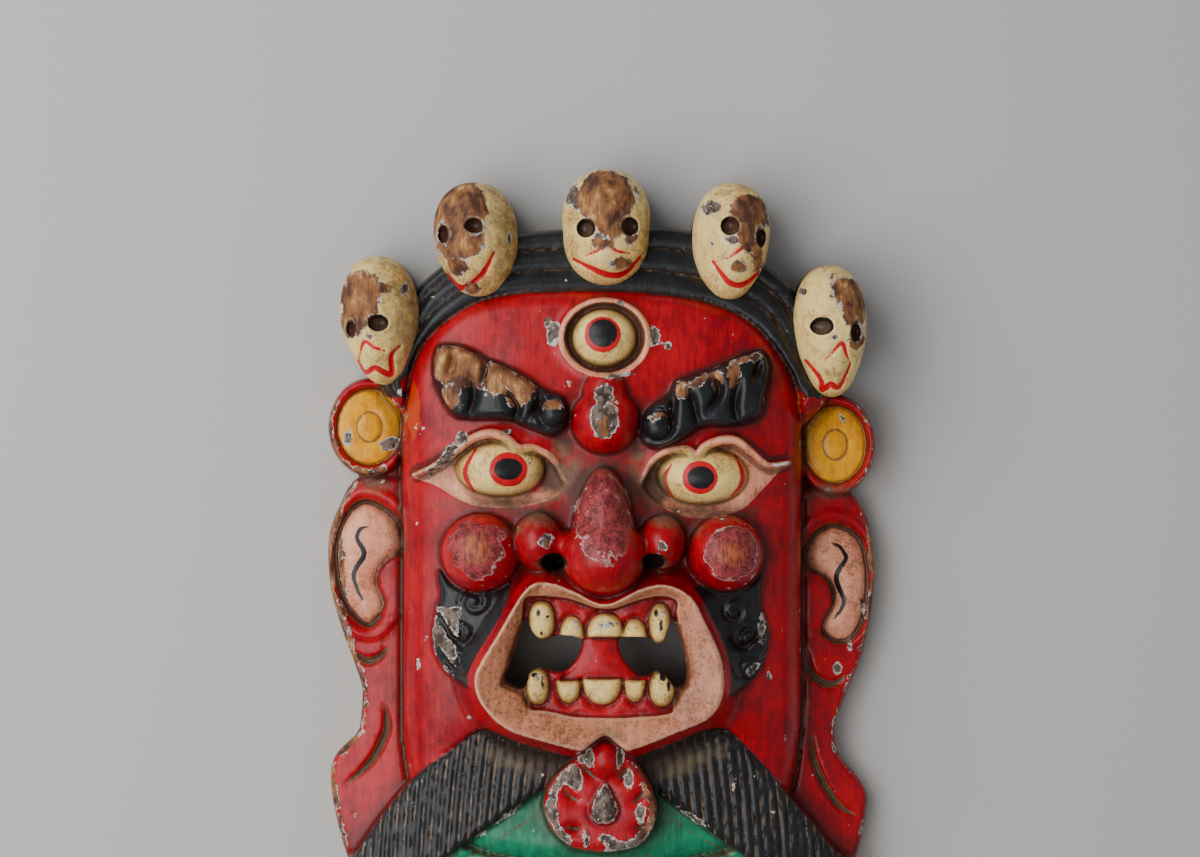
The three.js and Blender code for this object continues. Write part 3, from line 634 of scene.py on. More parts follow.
# %% Beard and collar
BEARD = smooth([
    (0, -100), (-16, -105), (-34.5, -104), (-62.5, -99), (-78.5, -96), (-99.5, -111), (-122, -128),
    (-143, -152.5), (-158, -174), (-165, -186), (-155, -206), (-128, -201), (-97, -178), (-85, -169),
    (-57, -148.5), (-36.5, -134.5), (0, -116), (36, -137), (60.5, -155.5), (90.5, -177.5), (128, -203),
    (155, -207), (165, -187), (152.5, -175.5), (136, -155), (115, -131), (96, -109.5), (78.5, -95),
    (50.5, -99), (30, -104)])
COLLAR = smooth([
    (0, -112), (60, -140), (110, -180), (150, -205), (147, -214), (114, -240), (61, -257.5),
    (0, -263.5), (-61, -257.5), (-114, -240), (-147, -214), (-150, -205), (-110, -180), (-60, -140)])
COLLAR_FOLDS = [
    [(-34, -147), (-57, -161.5), (-82.5, -177.5), (-118, -204)],
    [(32, -146), (53.5, -160), (81, -177.5), (118, -205)],
    [(-30, -178), (-70, -206), (-96, -226)], [(30, -178), (70, -206), (96, -226)]]
BEARD_TOP, BEARD_FALL, STRAND_CUT, STRAND_WIDE = 73.5, 34, 3.2, 7.9
COLLAR_BASE, COLLAR_RISE, FOLD_CUT = 28, 36, 2.2


def strand_phase(xy):
    x, y = xy.T
    lean = 0.17 * (y + 92) + 0.0006 * (y + 92) ** 2
    across = np.abs(x) + lean
    return across / (STRAND_WIDE - 0.010 * np.abs(x))


def carve_beard(xy, h):
    x = xy[:, 0]
    edge = depth_in(xy, BEARD, 12)
    level = BEARD_TOP - BEARD_FALL * (np.abs(x) / 165) ** 2
    strand = np.abs(2 * (strand_phase(xy) % 1) - 1)
    groove = STRAND_CUT * np.clip(1 - (1 - strand) / 0.42, 0, 1) ** 1.3
    level = level + 0.8 * (1 - strand**2) - groove * dome(edge, 6) - 6 * (1 - dome(edge, 6))
    return lay(h, level, edge)


def carve_collar(xy, h):
    x, y = xy.T
    edge = depth_in(xy, COLLAR, 12)
    fall = np.clip(1 - (x / 168) ** 2 - ((y + 125) / 150) ** 2, 0, 1)
    level = COLLAR_BASE + COLLAR_RISE * np.sqrt(fall)
    for fold in COLLAR_FOLDS:
        gap, _ = line_gap(xy, smooth(fold, False), 10)
        level = level - FOLD_CUT * np.clip(1 - gap / 1.7, 0, 1) - 0.8 * bell(gap / 5)
    return lay(h, level - 4 * (1 - dome(edge, 5)), edge)


print("strands on each side of the beard: about", int(strand_phase(np.array([[150, -185]]))[0]))

# %% [markdown]
# ## Jewel
# The jewel sits on the beard: a pad with petals cut into it, a knob at its top and a drop of stone.

# %% Jewel
JEWEL = smooth([
    (2.5, -98.5), (10.5, -104), (17.5, -109.5), (25, -118.5), (32.5, -133.5), (36, -145.5),
    (33.5, -159), (26.5, -168.5), (17.5, -172.5), (3.5, -174.5), (-10.5, -173.5), (-21, -170.5),
    (-31.5, -161.5), (-36.5, -150.5), (-37.5, -142), (-34, -131), (-24.5, -119.5), (-14.5, -111),
    (-7, -104)])
STONE = smooth([(2, -129), (7.5, -137), (11, -146), (8.5, -153), (2, -155.5), (-5, -153), (-7.8, -146),
                (-3.5, -137)])
PETALS = [
    [(-14, -115), (-9, -122), (-1, -127)], [(17, -117), (14, -124), (10, -128)],
    [(-25, -130), (-20, -138), (-12, -141)], [(29, -131), (25, -138), (18, -143)],
    [(-25, -157), (-18, -158.5), (-12, -157.5)], [(20, -158), (26, -157.5), (32, -155)]]
JEWEL_BASE, JEWEL_RISE, JEWEL_KNOB = 84, 8.5, (2.5, -114, 86, 11.5, 13, 14, 3)
PETAL_CUT, PETAL_SWELL, STONE_BASE, STONE_RISE = 3.4, 1.8, 92, 6


def carve_jewel(xy, h):
    edge = depth_in(xy, JEWEL, 10)
    level = JEWEL_BASE + JEWEL_RISE * dome(edge, 7)
    for petal in PETALS:
        gap, along = line_gap(xy, smooth(petal, False), 8)
        bite = taper(along, 1, 0.05)
        level = level - bite * (PETAL_CUT * bell(gap / 1.9) + PETAL_SWELL * bell(gap / 4.5))
    h = lay(h, level, edge)
    h = bump_on(xy, h, *JEWEL_KNOB)
    stone = depth_in(xy, STONE, 8)
    h = h - 2.5 * bell(np.clip(-stone, 0, None) / 1.4) * (stone < 0)
    return lay(h, STONE_BASE + STONE_RISE * dome(stone, 6), stone, 0.8)


print("petals:", len(PETALS))

# %% [markdown]
# ## Front and back
# The order of the cuts matters: what comes later lies over what came before. The back is a hollow for
# the wearer's head, an oval bowl with steep sides, and its rim is what the mask lies on.

# %% Front and back
FRONT_STEPS = [carve_board, carve_ears, carve_earrings, carve_collar, carve_band, carve_face,
               carve_eyes, carve_brows, carve_whiskers, carve_knobs, carve_third_eye, carve_nose,
               carve_beard, carve_mouth, carve_jewel]
LOWEST, HIGHEST = 6, 128.5
HOLLOW, HOLLOW_DEPTH = (0, -15, 106, 200), 58


def front_level(xy):
    h = np.zeros(len(xy))
    for step in FRONT_STEPS:
        h = step(xy, h)
    return np.clip(h, LOWEST, HIGHEST)


def back_level(xy):
    """The hollow for the wearer's head, an oval bowl with steep sides."""
    e = np.clip(oval(xy, *HOLLOW), 0, 1)
    return HOLLOW_DEPTH * (1 - e**2.5) ** 0.4


print("tip of the nose:", front_level(np.array([NOSE_TIP[:2]])).round(1), "mm")

# %% [markdown]
# ## Cutting the block
# A grid is cut to the outline of the board, its rim is drawn onto the true line, and the whole sheet is
# extruded once. Then its upper copy goes to the height of the relief and its lower copy to the hollow.
# The result is one closed block, like the real thing.

# %% Outline of the block
CELL = 1.15
BLANK_WIDE, BLANK_TALL = 362.0, 538.0
FILLETS = [smooth([(-146, 56), (-120, 56), (-120, 96), (-140, 92)]),
           smooth([(120, 50), (148, 50), (142, 82), (120, 88)])]


def outline_depth(xy):
    """Millimetres inside the outline of the whole mask."""
    parts = [depth_in(xy, line, 20) for line in (BOARD, FACE, BAND, *FILLETS)]
    return np.max(parts + [inside_oval(xy, ring) for ring in EARRINGS], axis=0)


def block_edge(xy):
    """The same with the two openings of the mouth left out."""
    solid = outline_depth(xy)
    for hole in HOLES:
        solid = np.minimum(solid, -depth_in(xy, hole, 20))
    return solid


print("inside the outline at the chin:", outline_depth(np.array([[0, -150]])).round(1), "mm")

# %% Grid to block


def cut_grid():
    columns, rows = int(BLANK_WIDE / CELL), int(BLANK_TALL / CELL)
    bm = bmesh.new()
    bmesh.ops.create_grid(bm, x_segments=columns, y_segments=rows, size=0.5)
    bmesh.ops.scale(bm, vec=(BLANK_WIDE, BLANK_TALL, 1), verts=bm.verts)
    xy = np.array([v.co.xy for v in bm.verts])
    edge = block_edge(xy)
    doomed = [v for v, e in zip(bm.verts, edge) if e < -0.45 * CELL]
    bmesh.ops.delete(bm, geom=doomed, context="VERTS")
    return bm


def draw_rim_on_line(bm):
    """Moves the corners of the rim along the slope of the distance until they lie on the line."""
    rim = [v for v in bm.verts if v.is_boundary]
    step = 0.3
    for _ in range(4):
        xy = np.array([v.co.xy for v in rim])
        here = block_edge(xy)
        slope_x = (block_edge(xy + [step, 0]) - here) / step
        slope_y = (block_edge(xy + [0, step]) - here) / step
        steep = np.maximum(np.hypot(slope_x, slope_y), 0.3)
        for v, d, sx, sy in zip(rim, here / steep**2, slope_x, slope_y):
            move = min(max(d, -CELL), CELL)
            v.co.x -= move * sx
            v.co.y -= move * sy


def build_block():
    bm = cut_grid()
    draw_rim_on_line(bm)
    lower = list(bm.verts)
    made = bmesh.ops.extrude_face_region(bm, geom=list(bm.faces))["geom"]
    upper = [v for v in made if isinstance(v, bmesh.types.BMVert)]
    for verts, level in ((upper, front_level), (lower, back_level)):
        xy = np.array([v.co.xy for v in verts])
        for v, z in zip(verts, level(xy)):
            v.co.z = z
    bmesh.ops.recalc_face_normals(bm, faces=bm.faces)
    mesh = bpy.data.meshes.new("carved_mask")
    bm.to_mesh(mesh)
    bm.free()
    return mesh


carved = bpy.data.objects.new("carved_mask", build_block())
bpy.context.collection.objects.link(carved)
print("block:", len(carved.data.vertices), "corners")

# %% [markdown]
# ## Evening out the surface
# A grid that is pulled up into steep walls has long thin faces. Remeshing gives every part of the skin
# the same small faces, with a slight fillet in each corner, as a blade leaves. Then the mesh is thinned:
# the plain back loses almost all its faces, and the front keeps its fine ones, most of all along the
# edges of the paint, which are stored on the corners.

# %% Where fine faces are needed
PAINT_REACH = 9.0


def paint_lines(xy):
    """Millimetres to the nearest edge between two colours on smooth ground."""
    spots = [eye[name] for eye in (*EYES, THIRD_EYE) for name in ("ball", "iris", "pupil")]
    gaps = [np.abs(oval(xy, *spot) - 1) * spot[3] for spot in spots]
    thin = [arc for eye in EYES for arc in eye["arcs"]] + [ear["squiggle"] for ear in EARS]
    gaps += [line_gap(xy, smooth(line, False), PAINT_REACH)[0] for line in thin]
    gaps += [np.abs(oval(xy, *ring) - 0.76) * ring[2] for ring in EARRINGS]
    pads = [brow["pad"] for brow in BROWS] + [whisker["pad"] for whisker in WHISKERS]
    pads += [ear["pink"] for ear in EARS] + [LIPS, MOUTH, JEWEL, STONE, BEARD, HAIRLINE]
    gaps += [np.abs(depth_in(xy, pad, PAINT_REACH)) for pad in pads]
    gaps += [np.abs(tooth_reach(xy, tooth) - 1) * tooth[2] for tooth in TEETH]
    return np.min([np.full(len(xy), PAINT_REACH), *gaps], axis=0)


print("paint edge nearest to the left pupil:", paint_lines(np.array([EYES[0]["pupil"][:2]])).round(1), "mm")

# %% Remesh and thin
VOXEL = 1.1
MOST_FACES = 190_000
THIN_BACK, THIN_PLAIN, THIN_PAINTED = 1.0, 0.45, 0.2


def baked(obj):
    """The object's mesh with its modifiers worked in."""
    graph = bpy.context.evaluated_depsgraph_get()
    mesh = bpy.data.meshes.new_from_object(obj.evaluated_get(graph))
    obj.modifiers.clear()
    obj.data = mesh
    return mesh


def corners_of(mesh):
    flat = np.empty(len(mesh.vertices) * 3, np.float32)
    mesh.vertices.foreach_get("co", flat)
    return flat.reshape(-1, 3).astype(float)


def even_out(obj):
    remesh = obj.modifiers.new("even", "REMESH")
    remesh.mode = "VOXEL"
    remesh.voxel_size = VOXEL
    soften = obj.modifiers.new("soften", "SMOOTH")
    soften.factor = 0.5
    soften.iterations = 1
    mesh = baked(obj)
    p = corners_of(mesh)
    back = (p[:, 2] < 1) | (p[:, 2] < back_level(p[:, :2]) + 2)
    plain = paint_lines(p[:, :2]) > 3
    loose = obj.vertex_groups.new(name="loose")
    places = ((THIN_BACK, back), (THIN_PLAIN, ~back & plain), (THIN_PAINTED, ~back & ~plain))
    for weight, those in places:
        loose.add(np.nonzero(those)[0].tolist(), weight, "REPLACE")
    thin = obj.modifiers.new("thin", "DECIMATE")
    thin.ratio = MOST_FACES / (2 * len(mesh.polygons))
    thin.vertex_group = "loose"
    thin.vertex_group_factor = 1.0
    thin.use_collapse_triangulate = True
    mesh = baked(obj)
    obj.vertex_groups.clear()
    p = corners_of(mesh)
    p[:, 2] = np.maximum(p[:, 2], 0.02)
    mesh.vertices.foreach_set("co", p.ravel())
    return mesh


even = even_out(carved)
even.transform(Matrix.Scale(MM, 4))
print("evened:", len(even.vertices), "corners,", len(even.polygons), "faces")

# %% [markdown]
# ## The skulls
# Each skull is an egg that narrows to the jaw and runs back to the board. The sockets and the mouth are
# cut where the front view shows them, because the five skulls look five different ways.

# %% Drawing of the skulls
SKULLS = [
    {"at": (-144, 169.5), "half": (24.6, 42), "jaw": 0.44, "chin": 5.5, "yaw": -26, "lean": -5,
     "sockets": [(-161.8, 163.4, 3.4, 5.4), (-144.4, 167.3, 6.5, 5.2)],
     "lip": [(-157.3, 144), (-153.4, 155), (-147, 151.7), (-139.9, 149.2)],
     "mouth": [(-158, 143.4), (-153.4, 135.6), (-146.3, 138.2), (-136.6, 134.3), (-136, 146.6),
               (-130.8, 152.4)],
     "white": [(-146, 184, 2.5, 7), (-128, 190, 3, 5), (-150, 158, 2, 3)],
     "bare": [(-156, 184, 13, 18), (-161, 168, 9, 10), (-141, 190, 5, 4)]},
    {"at": (-81.5, 222), "half": (26.6, 37.5), "jaw": 0.26, "chin": 3, "yaw": -26, "lean": -6,
     "sockets": [(-102.4, 224.7, 3.4, 5.8), (-82.4, 229.9, 6, 5)],
     "lip": [(-98.5, 207.3), (-93.4, 215.1), (-88.8, 211.8), (-82, 211.2)],
     "mouth": [(-100.5, 199.6), (-90.8, 190.5), (-77.8, 198.3), (-69.5, 213.1)],
     "white": [(-77, 231, 4, 7), (-81.7, 219, 3, 3), (-96, 208, 5, 4), (-60, 222, 2, 6)],
     "bare": [(-94, 238, 20, 25), (-92, 220, 16, 12), (-93, 204, 7, 6), (-84, 190, 5, 4)]},
    {"at": (3, 230), "half": (29.3, 38), "jaw": 0.08, "yaw": 0, "lean": 0,
     "sockets": [(-10, 228.6, 5.8, 5.8), (18.4, 229.6, 5.4, 5.8)],
     "lip": [(-10, 211.2), (-2.9, 213.8), (4.2, 217.6), (10, 213.8), (18.4, 212.5)],
     "mouth": [(-18.4, 209.2), (-4.9, 202.1), (6.8, 198.3), (15.8, 200.5), (25.2, 210.5)],
     "white": [(-18, 249, 5, 9), (0, 223, 7, 3), (9, 206, 7, 3), (18, 229, 5, 9), (22, 252, 2, 6)],
     "bare": [(2.9, 248, 18.5, 19), (6.8, 232.5, 9.5, 12), (0, 219, 8, 4), (13, 206, 7, 3.4),
              (19, 226, 5, 8)],
     "bump": (4.2, 242.2, 6.5, 12.5)},
    {"at": (84, 221), "half": (24.6, 38.3), "jaw": 0.28, "chin": 3, "yaw": 21, "lean": 4,
     "sockets": [(83, 229.9, 5.8, 5.8), (103, 222.5, 3.1, 5.8)],
     "lip": [(81.1, 208.9), (86.9, 212.5), (94, 217), (97.9, 210.5), (102.1, 204.7)],
     "mouth": [(72, 207.3), (82.4, 194.1), (92, 192.4), (102.4, 200.8)],
     "white": [(71, 242, 7, 5), (84, 221, 6, 3), (90, 203, 5, 4), (72, 218, 1.5, 2.5)],
     "bare": [(95, 237, 13, 14), (96, 220.9, 7, 9), (89, 204, 5, 3.6), (101, 210, 4, 9)]},
    {"at": (149, 162.5), "half": (23.2, 43), "jaw": 0.42, "chin": 5.5, "yaw": 17, "lean": -2,
     "sockets": [(142.4, 165.3, 7.1, 5.5), (164.4, 161.4, 3.3, 6.5)],
     "lip": [(144.4, 143.4), (149.5, 148.5), (155.4, 154.3), (157.9, 147.9), (161.2, 140.8)],
     "mouth": [(132.7, 143.4), (141.8, 131.7), (143.7, 124.6), (148.9, 127.8), (154.1, 125.9),
               (160.5, 139.5)],
     "dab": [(157.2, 191), (159.5, 184), (156.8, 175), (158.5, 168)],
     "white": [(149, 195, 2, 5), (152.4, 182, 2.5, 6), (150, 158, 2.5, 2.5), (131, 188, 3, 3)],
     "bare": [(163.8, 180.2, 8.5, 17), (156, 188.6, 7.8, 9), (165, 158, 5, 8)]},
]
SKULL_CENTRE, SKULL_DEPTH, SKULL_FOOT = 52, 31, 4
SOCKET_CUT, SOCKET_RIM, MUZZLE_RISE, BUMP_RISE = 8, 0.8, 2.8, 1.8
LIP_CUT, MOUTH_CUT = 1.3, 1.9
print("skulls drawn:", len(SKULLS))

# %% Shape of a skull


def skull_shape(skull):
    """The egg as a bmesh, the ball it comes from, and where its corners are in millimetres."""
    bm = bmesh.new()
    around, rings = ((120, 84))
    bmesh.ops.create_uvsphere(bm, u_segments=around, v_segments=rings, radius=1,
                              matrix=Matrix.Rotation(math.pi / 2, 4, "X"))
    ball = np.array([v.co for v in bm.verts])
    x, y, z = ball.T
    ring = np.sqrt(np.clip(1 - y**2, 0, 1))
    square = np.where(y < 0, skull.get("chin", 2.4), 2.4)
    full = np.clip(1 - np.abs(y) ** square, 0, 1) ** 0.44 / np.maximum(ring, 0.02)
    wide = np.minimum(full, 1.5) * (1 - skull["jaw"] * ramp(0, 1, -y))
    half_x, half_y = skull["half"]
    cheek = 1 - 0.04 * bell((y + 0.12) / 0.25) * np.abs(x) ** 2
    local = np.column_stack([x * half_x * wide * cheek, y * half_y, z * SKULL_DEPTH * wide])
    turn = Euler((0, math.radians(skull["yaw"]), math.radians(-skull["lean"])), "ZYX")
    place = Matrix.Translation((*skull["at"], SKULL_CENTRE)) @ turn.to_matrix().to_4x4()
    return bm, ball, local @ np.array(place.to_3x3()).T + np.array(place.translation)


def cut_skull(skull, ball, world):
    """Cuts the sockets and the mouth, raises the muzzle, and says how deep it has cut."""
    front = ramp(0.02, 0.3, ball[:, 2])
    xy, uncut = world[:, :2], world[:, 2].copy()
    for socket in skull["sockets"]:
        e = oval(xy, *socket)
        world[:, 2] -= front * SOCKET_CUT * np.clip(1 - e**2, 0, 1) ** 0.6
        world[:, 2] += front * SOCKET_RIM * bell((e - 1.25) / 0.2)
    for line, deep in ((skull["lip"], LIP_CUT), (skull["mouth"], MOUTH_CUT)):
        gap, _ = line_gap(xy, smooth(line, False), 8)
        world[:, 2] -= front * deep * bell(gap / 1.7)
    (lip_x, lip_y), (mouth_x, mouth_y) = np.mean(skull["lip"], 0), np.mean(skull["mouth"], 0)
    e = oval(xy, (lip_x + mouth_x) / 2, (lip_y + mouth_y) / 2, 9, 7)
    world[:, 2] += front * MUZZLE_RISE * bell(e)
    if "bump" in skull:
        world[:, 2] += front * BUMP_RISE * cap(oval(xy, *skull["bump"]))
    cut = uncut - world[:, 2]
    world[:, 2] += front * 0.35 * waves(xy, 11, 21)
    world[:, 2] = np.where(world[:, 2] < SKULL_CENTRE - 5, SKULL_FOOT, world[:, 2])
    return cut


print("sockets on each skull:", [len(skull["sockets"]) for skull in SKULLS])

# %% [markdown]
# ## Paint on the skulls
# A skull is cream all over. Its sockets are dark, its mouth is a red stroke, and worn places show primer
# and brown wood. Every coat is a number on each corner, the millimetres inside its edge, so that one
# finish can draw them all. The walls behind are black, as the board there is.

# %% Coats of a skull


def skull_coats(skull, ball, world, cut):
    x, y, z = ball.T
    xy = world[:, :2]
    strokes = []
    for line, half in ((skull["mouth"], 1.9), (skull["lip"], 1.2), (skull.get("dab", []), 0.9)):
        if line:
            gap, along = line_gap(xy, smooth(line, False), 9)
            strokes.append(half * taper(along, 0.5, 0.08) - gap)
    floors = [(sx, sy - 0.16 * ry, 0.8 * rx, 0.76 * ry) for sx, sy, rx, ry in skull["sockets"]]
    socket_floor = np.max([(1 - oval(xy, *floor)) * min(socket[2:])
                           for floor, socket in zip(floors, skull["sockets"])], axis=0)
    socket, bare, white = [np.max([inside_oval(xy, spot) for spot in skull[name]], axis=0)
                           for name in ("sockets", "bare", "white")]
    behind = SKULL_CENTRE - 3 - world[:, 2]
    return {
        "cream": np.full(len(xy), 9.0),
        "red_line": np.where(z > 0, np.max(strokes, axis=0), -9),
        "groove": np.where(z > 0, socket_floor, -9),
        "primer": np.min([white, -socket - 0.6, -1 - behind], axis=0),
        # Khaki: painted shade down the right side, away from the light, and darker towards the top and the
        # bottom.
        "khaki": -7 + 9 * ramp(0.4, 1.0, x) + 6 * ramp(0.55, 1.0, y) + 3 * ramp(0.5, 1, -y),
        "ink": np.where(z > 0, socket + 0.4, -9),
        "bare": np.min([bare, -socket - 0.6, -1 - behind], axis=0),
        "black": behind,
        "stain_and_shade": 0.5 * bare + 0.4,
        # The depth of each cut, so that the sockets and the mouth are painted darker, for grime and for
        # shade.
        "fine_hollow": 0.14 * cut,
        "broad_hollow": 0.2 * cut,
    }


def build_skull(skull, name):
    bm, ball, world = skull_shape(skull)
    cut = cut_skull(skull, ball, world)
    for v, place in zip(bm.verts, world):
        v.co = place
    bmesh.ops.recalc_face_normals(bm, faces=bm.faces)
    bmesh.ops.triangulate(bm, faces=bm.faces)
    mesh = bpy.data.meshes.new(name)
    bm.to_mesh(mesh)
    bm.free()
    mesh.transform(Matrix.Scale(MM, 4))
    return mesh, skull_coats(skull, ball, world, cut)


skulls = []
for number, skull in enumerate(SKULLS, 1):
    mesh, coats = build_skull(skull, f"skull_{number}")
    obj = bpy.data.objects.new(f"skull_{number}", mesh)
    bpy.context.collection.objects.link(obj)
    skulls.append((obj, coats))
print("skulls:", [len(o.data.polygons) for o, _ in skulls], "faces")

# %% [markdown]
# ## Worn places
# Real wear is where hands, pegs and falls have been. Each place is a ragged oval: its middle, half width,
# half height and turn. Primer shows as pale grey, bare as brown wood, khaki as caked grime and, at the root
# of the nose and the inner corners of the eyes, as painted shade, rub as the polished thin red of nose and
# cheeks, and orange as an older coat at the sides.

# %% Worn places
WORN = {
    "primer": [
        (-31.2, 161.1, 4.6, 8.3, 0), (-35, 168.1, 2.6, 4.5, 0), (34.3, 159.1, 4.5, 7.7, 0),
        (42.7, 152.7, 2.6, 3.2, 0), (10.6, 133.5, 10.9, 1.9, 8), (1.6, 121, 7, 7, 0),
        (1.6, 104.6, 9.6, 12.8, 0), (-99.2, 82.1, 4, 12.8, -38), (-90.6, 92.5, 5, 5, 0),
        (-109.5, 72.4, 2.4, 4.5, -30), (-36, 27.5, 6, 4.4, 20), (39, 24, 3, 3.4, 0), (-62, 97, 3, 1.6, 0),
        (-21, 128, 2, 3, 0), (103.1, -31.6, 3.2, 10.3, 0), (97.3, -57.3, 6.4, 3.2, 35),
        (-2.9, -48.9, 2.6, 1.4, -30), (-17, -124.7, 5.1, 9.6, 10), (-7.4, -113.2, 3.4, 8.3, 0),
        (11.5, -113.8, 3, 8.5, 0), (17.6, -126.6, 3.6, 6.5, 0), (25.4, -147.2, 3.6, 7, 0),
        (-31.2, -145.9, 3.6, 9, 0), (-10, -163.9, 2.8, 6, 0), (9.9, -167.1, 16.5, 3, -18),
        (-25.4, -163.9, 2.6, 7.7, 40), (-60.7, -151.7, 11, 1.9, 35), (-76.8, -164.5, 4.5, 1.4, 30),
        (58.8, -153, 11, 2.2, -35), (87, -129.9, 1.6, 5.1, -10), (110.8, -148.5, 1.9, 2.6, 0),
        (-128.1, -149.8, 1.5, 1.5, 0), (-119.1, -54.1, 1.6, 4, 0), (-114, -39.3, 1, 2.6, 0),
        (109.5, -59.8, 1.5, 4, 0), (119.8, -102.2, 1.4, 3.4, 0), (155.1, -58.6, 3.4, 4, 0),
        (163.4, -43.8, 1.7, 5.1, 0), (-139.5, 89, 6.5, 4.5, 20), (-166.5, 93.6, 3.4, 6, 0),
        (-13, -113, 3, 5, 20), (-165, -50, 1.8, 4, 0), (172, -18, 2, 9, 0), (-16.5, -25, 1.6, 2, 0),
        (5, -27, 6, 2.4, 20), (39, -19, 2, 3.4, 0), (-41, -60, 3, 2, 0), (158, 106, 3, 5, 30),
        (-86, -88, 2, 3, 0)],
    "bare": [
        (-96, 140.4, 14, 13, 0), (-81.9, 136.5, 13.5, 12, -20), (-67.1, 131, 13.5, 10.5, -20),
        (-52.4, 123, 9, 10, -30), (-96.7, 121, 6, 9, -10), (-31.8, 115, 6.4, 3.6, 0),
        (85.7, 134, 4.5, 8.3, 0), (74.2, 131.5, 3.9, 7.1, 0), (62.6, 129.5, 7.7, 3.2, 30),
        (51, 124, 3.9, 5.1, 20), (94.7, 143.7, 9, 2.6, 15), (38.2, 107.5, 5.8, 2.6, 10),
        (32.4, -143.3, 1.9, 12.8, 0), (1.6, 100.4, 4.1, 6.7, 0), (-35, 25.3, 3.2, 2, 0),
        (-172, 15, 2.5, 45, 4), (-171, -28, 2.5, 14, 20)],
    # Khaki: caked grime, and painted shade round the root of the nose and the inner corners of the eyes.
    "khaki": [
        (-15.7, 64.7, 10.9, 16.7, 0), (20.5, 64.7, 9, 15.4, 0), (1.6, 75, 15.4, 6.4, 0),
        (-40.8, 43, 14.1, 6, 0), (41.3, 42.5, 12.8, 6, 0), (-42.7, -117, 32.1, 9, -12),
        (45.3, -117, 32.1, 9, 12), (-60, 50.6, 34, 5.1, 0), (-147.4, 63.5, 14.1, 5.8, 0),
        (-31.8, 10.8, 9, 5.8, 0), (35, 10.8, 9, 5.8, 0), (4.2, -98.5, 7, 4, 0), (148, 58, 14, 5, 0),
        (60, 45, 30, 4, 0), (-30, 66, 12, 16, 0), (33, 60, 12, 16, 0), (-24, 88, 7, 9, 0),
        (22, 84, 7, 8, 0), (-58, 34, 6, 4, 0), (60, 34, 6, 4, 0)],
    "rub": [
        (-80.5, 22, 18, 18.6, 0), (83.8, 19.1, 17.3, 17.3, 0), (1.6, 41, 18, 29.5, 0)],
    "orange": [
        (-122, 111, 4.5, 19, 0), (129, 118, 2, 12, 0)],
}


def worn_patch(xy, patches):
    """Millimetres inside the nearest of several turned ovals."""
    best = np.full(len(xy), -9.0)
    for cx, cy, rx, ry, turn in patches:
        c, s = math.cos(math.radians(turn)), math.sin(math.radians(turn))
        x, y = xy[:, 0] - cx, xy[:, 1] - cy
        e = np.hypot((x * c + y * s) / rx, (y * c - x * s) / ry)
        best = np.maximum(best, (1 - e) * min(rx, ry))
    return best


print("worn places:", {name: len(patches) for name, patches in WORN.items()})

# %% [markdown]
# ## Where each paint goes
# The colours follow the carving, so every coat is stored as a number on each corner of the mesh: the
# millimetres inside its edge, negative outside. The finish then draws the edge through zero, with a
# hand's small wobble. First come the large grounds: black hair, brows and beard, and the green collar.

# %% Large grounds
LARGE_FORMS = {"lips": LIPS, "mouth": MOUTH, "jewel": JEWEL, "beard": BEARD, "collar": COLLAR,
               "band": BAND, "hairline": HAIRLINE, "face": FACE, "stone": STONE}
OUTSIDE = -9
BAND_FOOT = 119


def large_grounds(xy, edge):
    """The black and green coats; the band and the beard also on their own."""
    cheeks = np.max([inside_oval(xy, cheek) for cheek in CHEEKS], axis=0)
    off_lips = -(edge["lips"] + 6)
    whiskers = np.max([depth_in(xy, whisker["pad"], 8) for whisker in WHISKERS], axis=0)
    whiskers = np.min([whiskers, off_lips + 1.5, -cheeks], axis=0)
    brows = np.max([depth_in(xy, brow["pad"], 8) for brow in BROWS], axis=0) + 0.4
    band = np.minimum(edge["band"], -edge["hairline"])
    band = np.where(xy[:, 1] > BAND_FOOT, band + 0.5, OUTSIDE)
    beard = np.min([edge["beard"], off_lips, -edge["jewel"] - 0.3], axis=0)
    black = np.max([whiskers, brows, band, beard], axis=0)
    green = np.min([edge["collar"], -edge["beard"], -edge["jewel"]], axis=0)
    return band, beard, {"black": black, "green": green}


print("large outlines:", ", ".join(LARGE_FORMS))

# %% [markdown]
# ## Fine brushwork
# Eyes, lids, teeth, ears and the cut lines are painted with a small brush. Each stroke is a line that
# swells halfway; a coat with several strokes takes the one that is nearest.

# %% Eyes and teeth


def eye_coats(xy):
    """Cream, pink, red lines and ink of the eyes and teeth, and the moat of the third eye."""
    cream, pink, red_line, ink = [], [], [], []
    for eye in EYES:
        upper, almond = eye_lines(eye)
        inside = depth_in(xy, almond, 14)
        gap, along = line_gap(xy, upper, 12)
        cream.append(np.minimum(inside_oval(xy, eye["ball"]) + 0.4, inside + 0.5))
        pink.append(np.maximum(1.4 + 1.5 * taper(along) - gap, np.minimum(inside + 0.8, 9)))
        red_line.append(inside_oval(xy, eye["iris"]))
        for arc in eye["arcs"]:
            gap, along = line_gap(xy, smooth(arc, False), 9)
            red_line.append(1.6 * taper(along, 0.6, 0.1) - gap)
        ink.append(inside_oval(xy, eye["pupil"]))
    rim = oval(xy, *THIRD_EYE["rim"])
    third = inside_oval(xy, THIRD_EYE["ball"]) + 0.3
    cream.append(third)
    pink.append(1.7 - np.abs(rim - 0.985) * 26)
    red_line.append(inside_oval(xy, THIRD_EYE["iris"]))
    ink.append(inside_oval(xy, THIRD_EYE["pupil"]))
    cream += [(1 - tooth_reach(xy, tooth)) * tooth[2] * 1.8 + 0.3 for tooth in TEETH]
    return cream, pink, red_line, ink, np.minimum((0.93 - rim) * 26, -third)


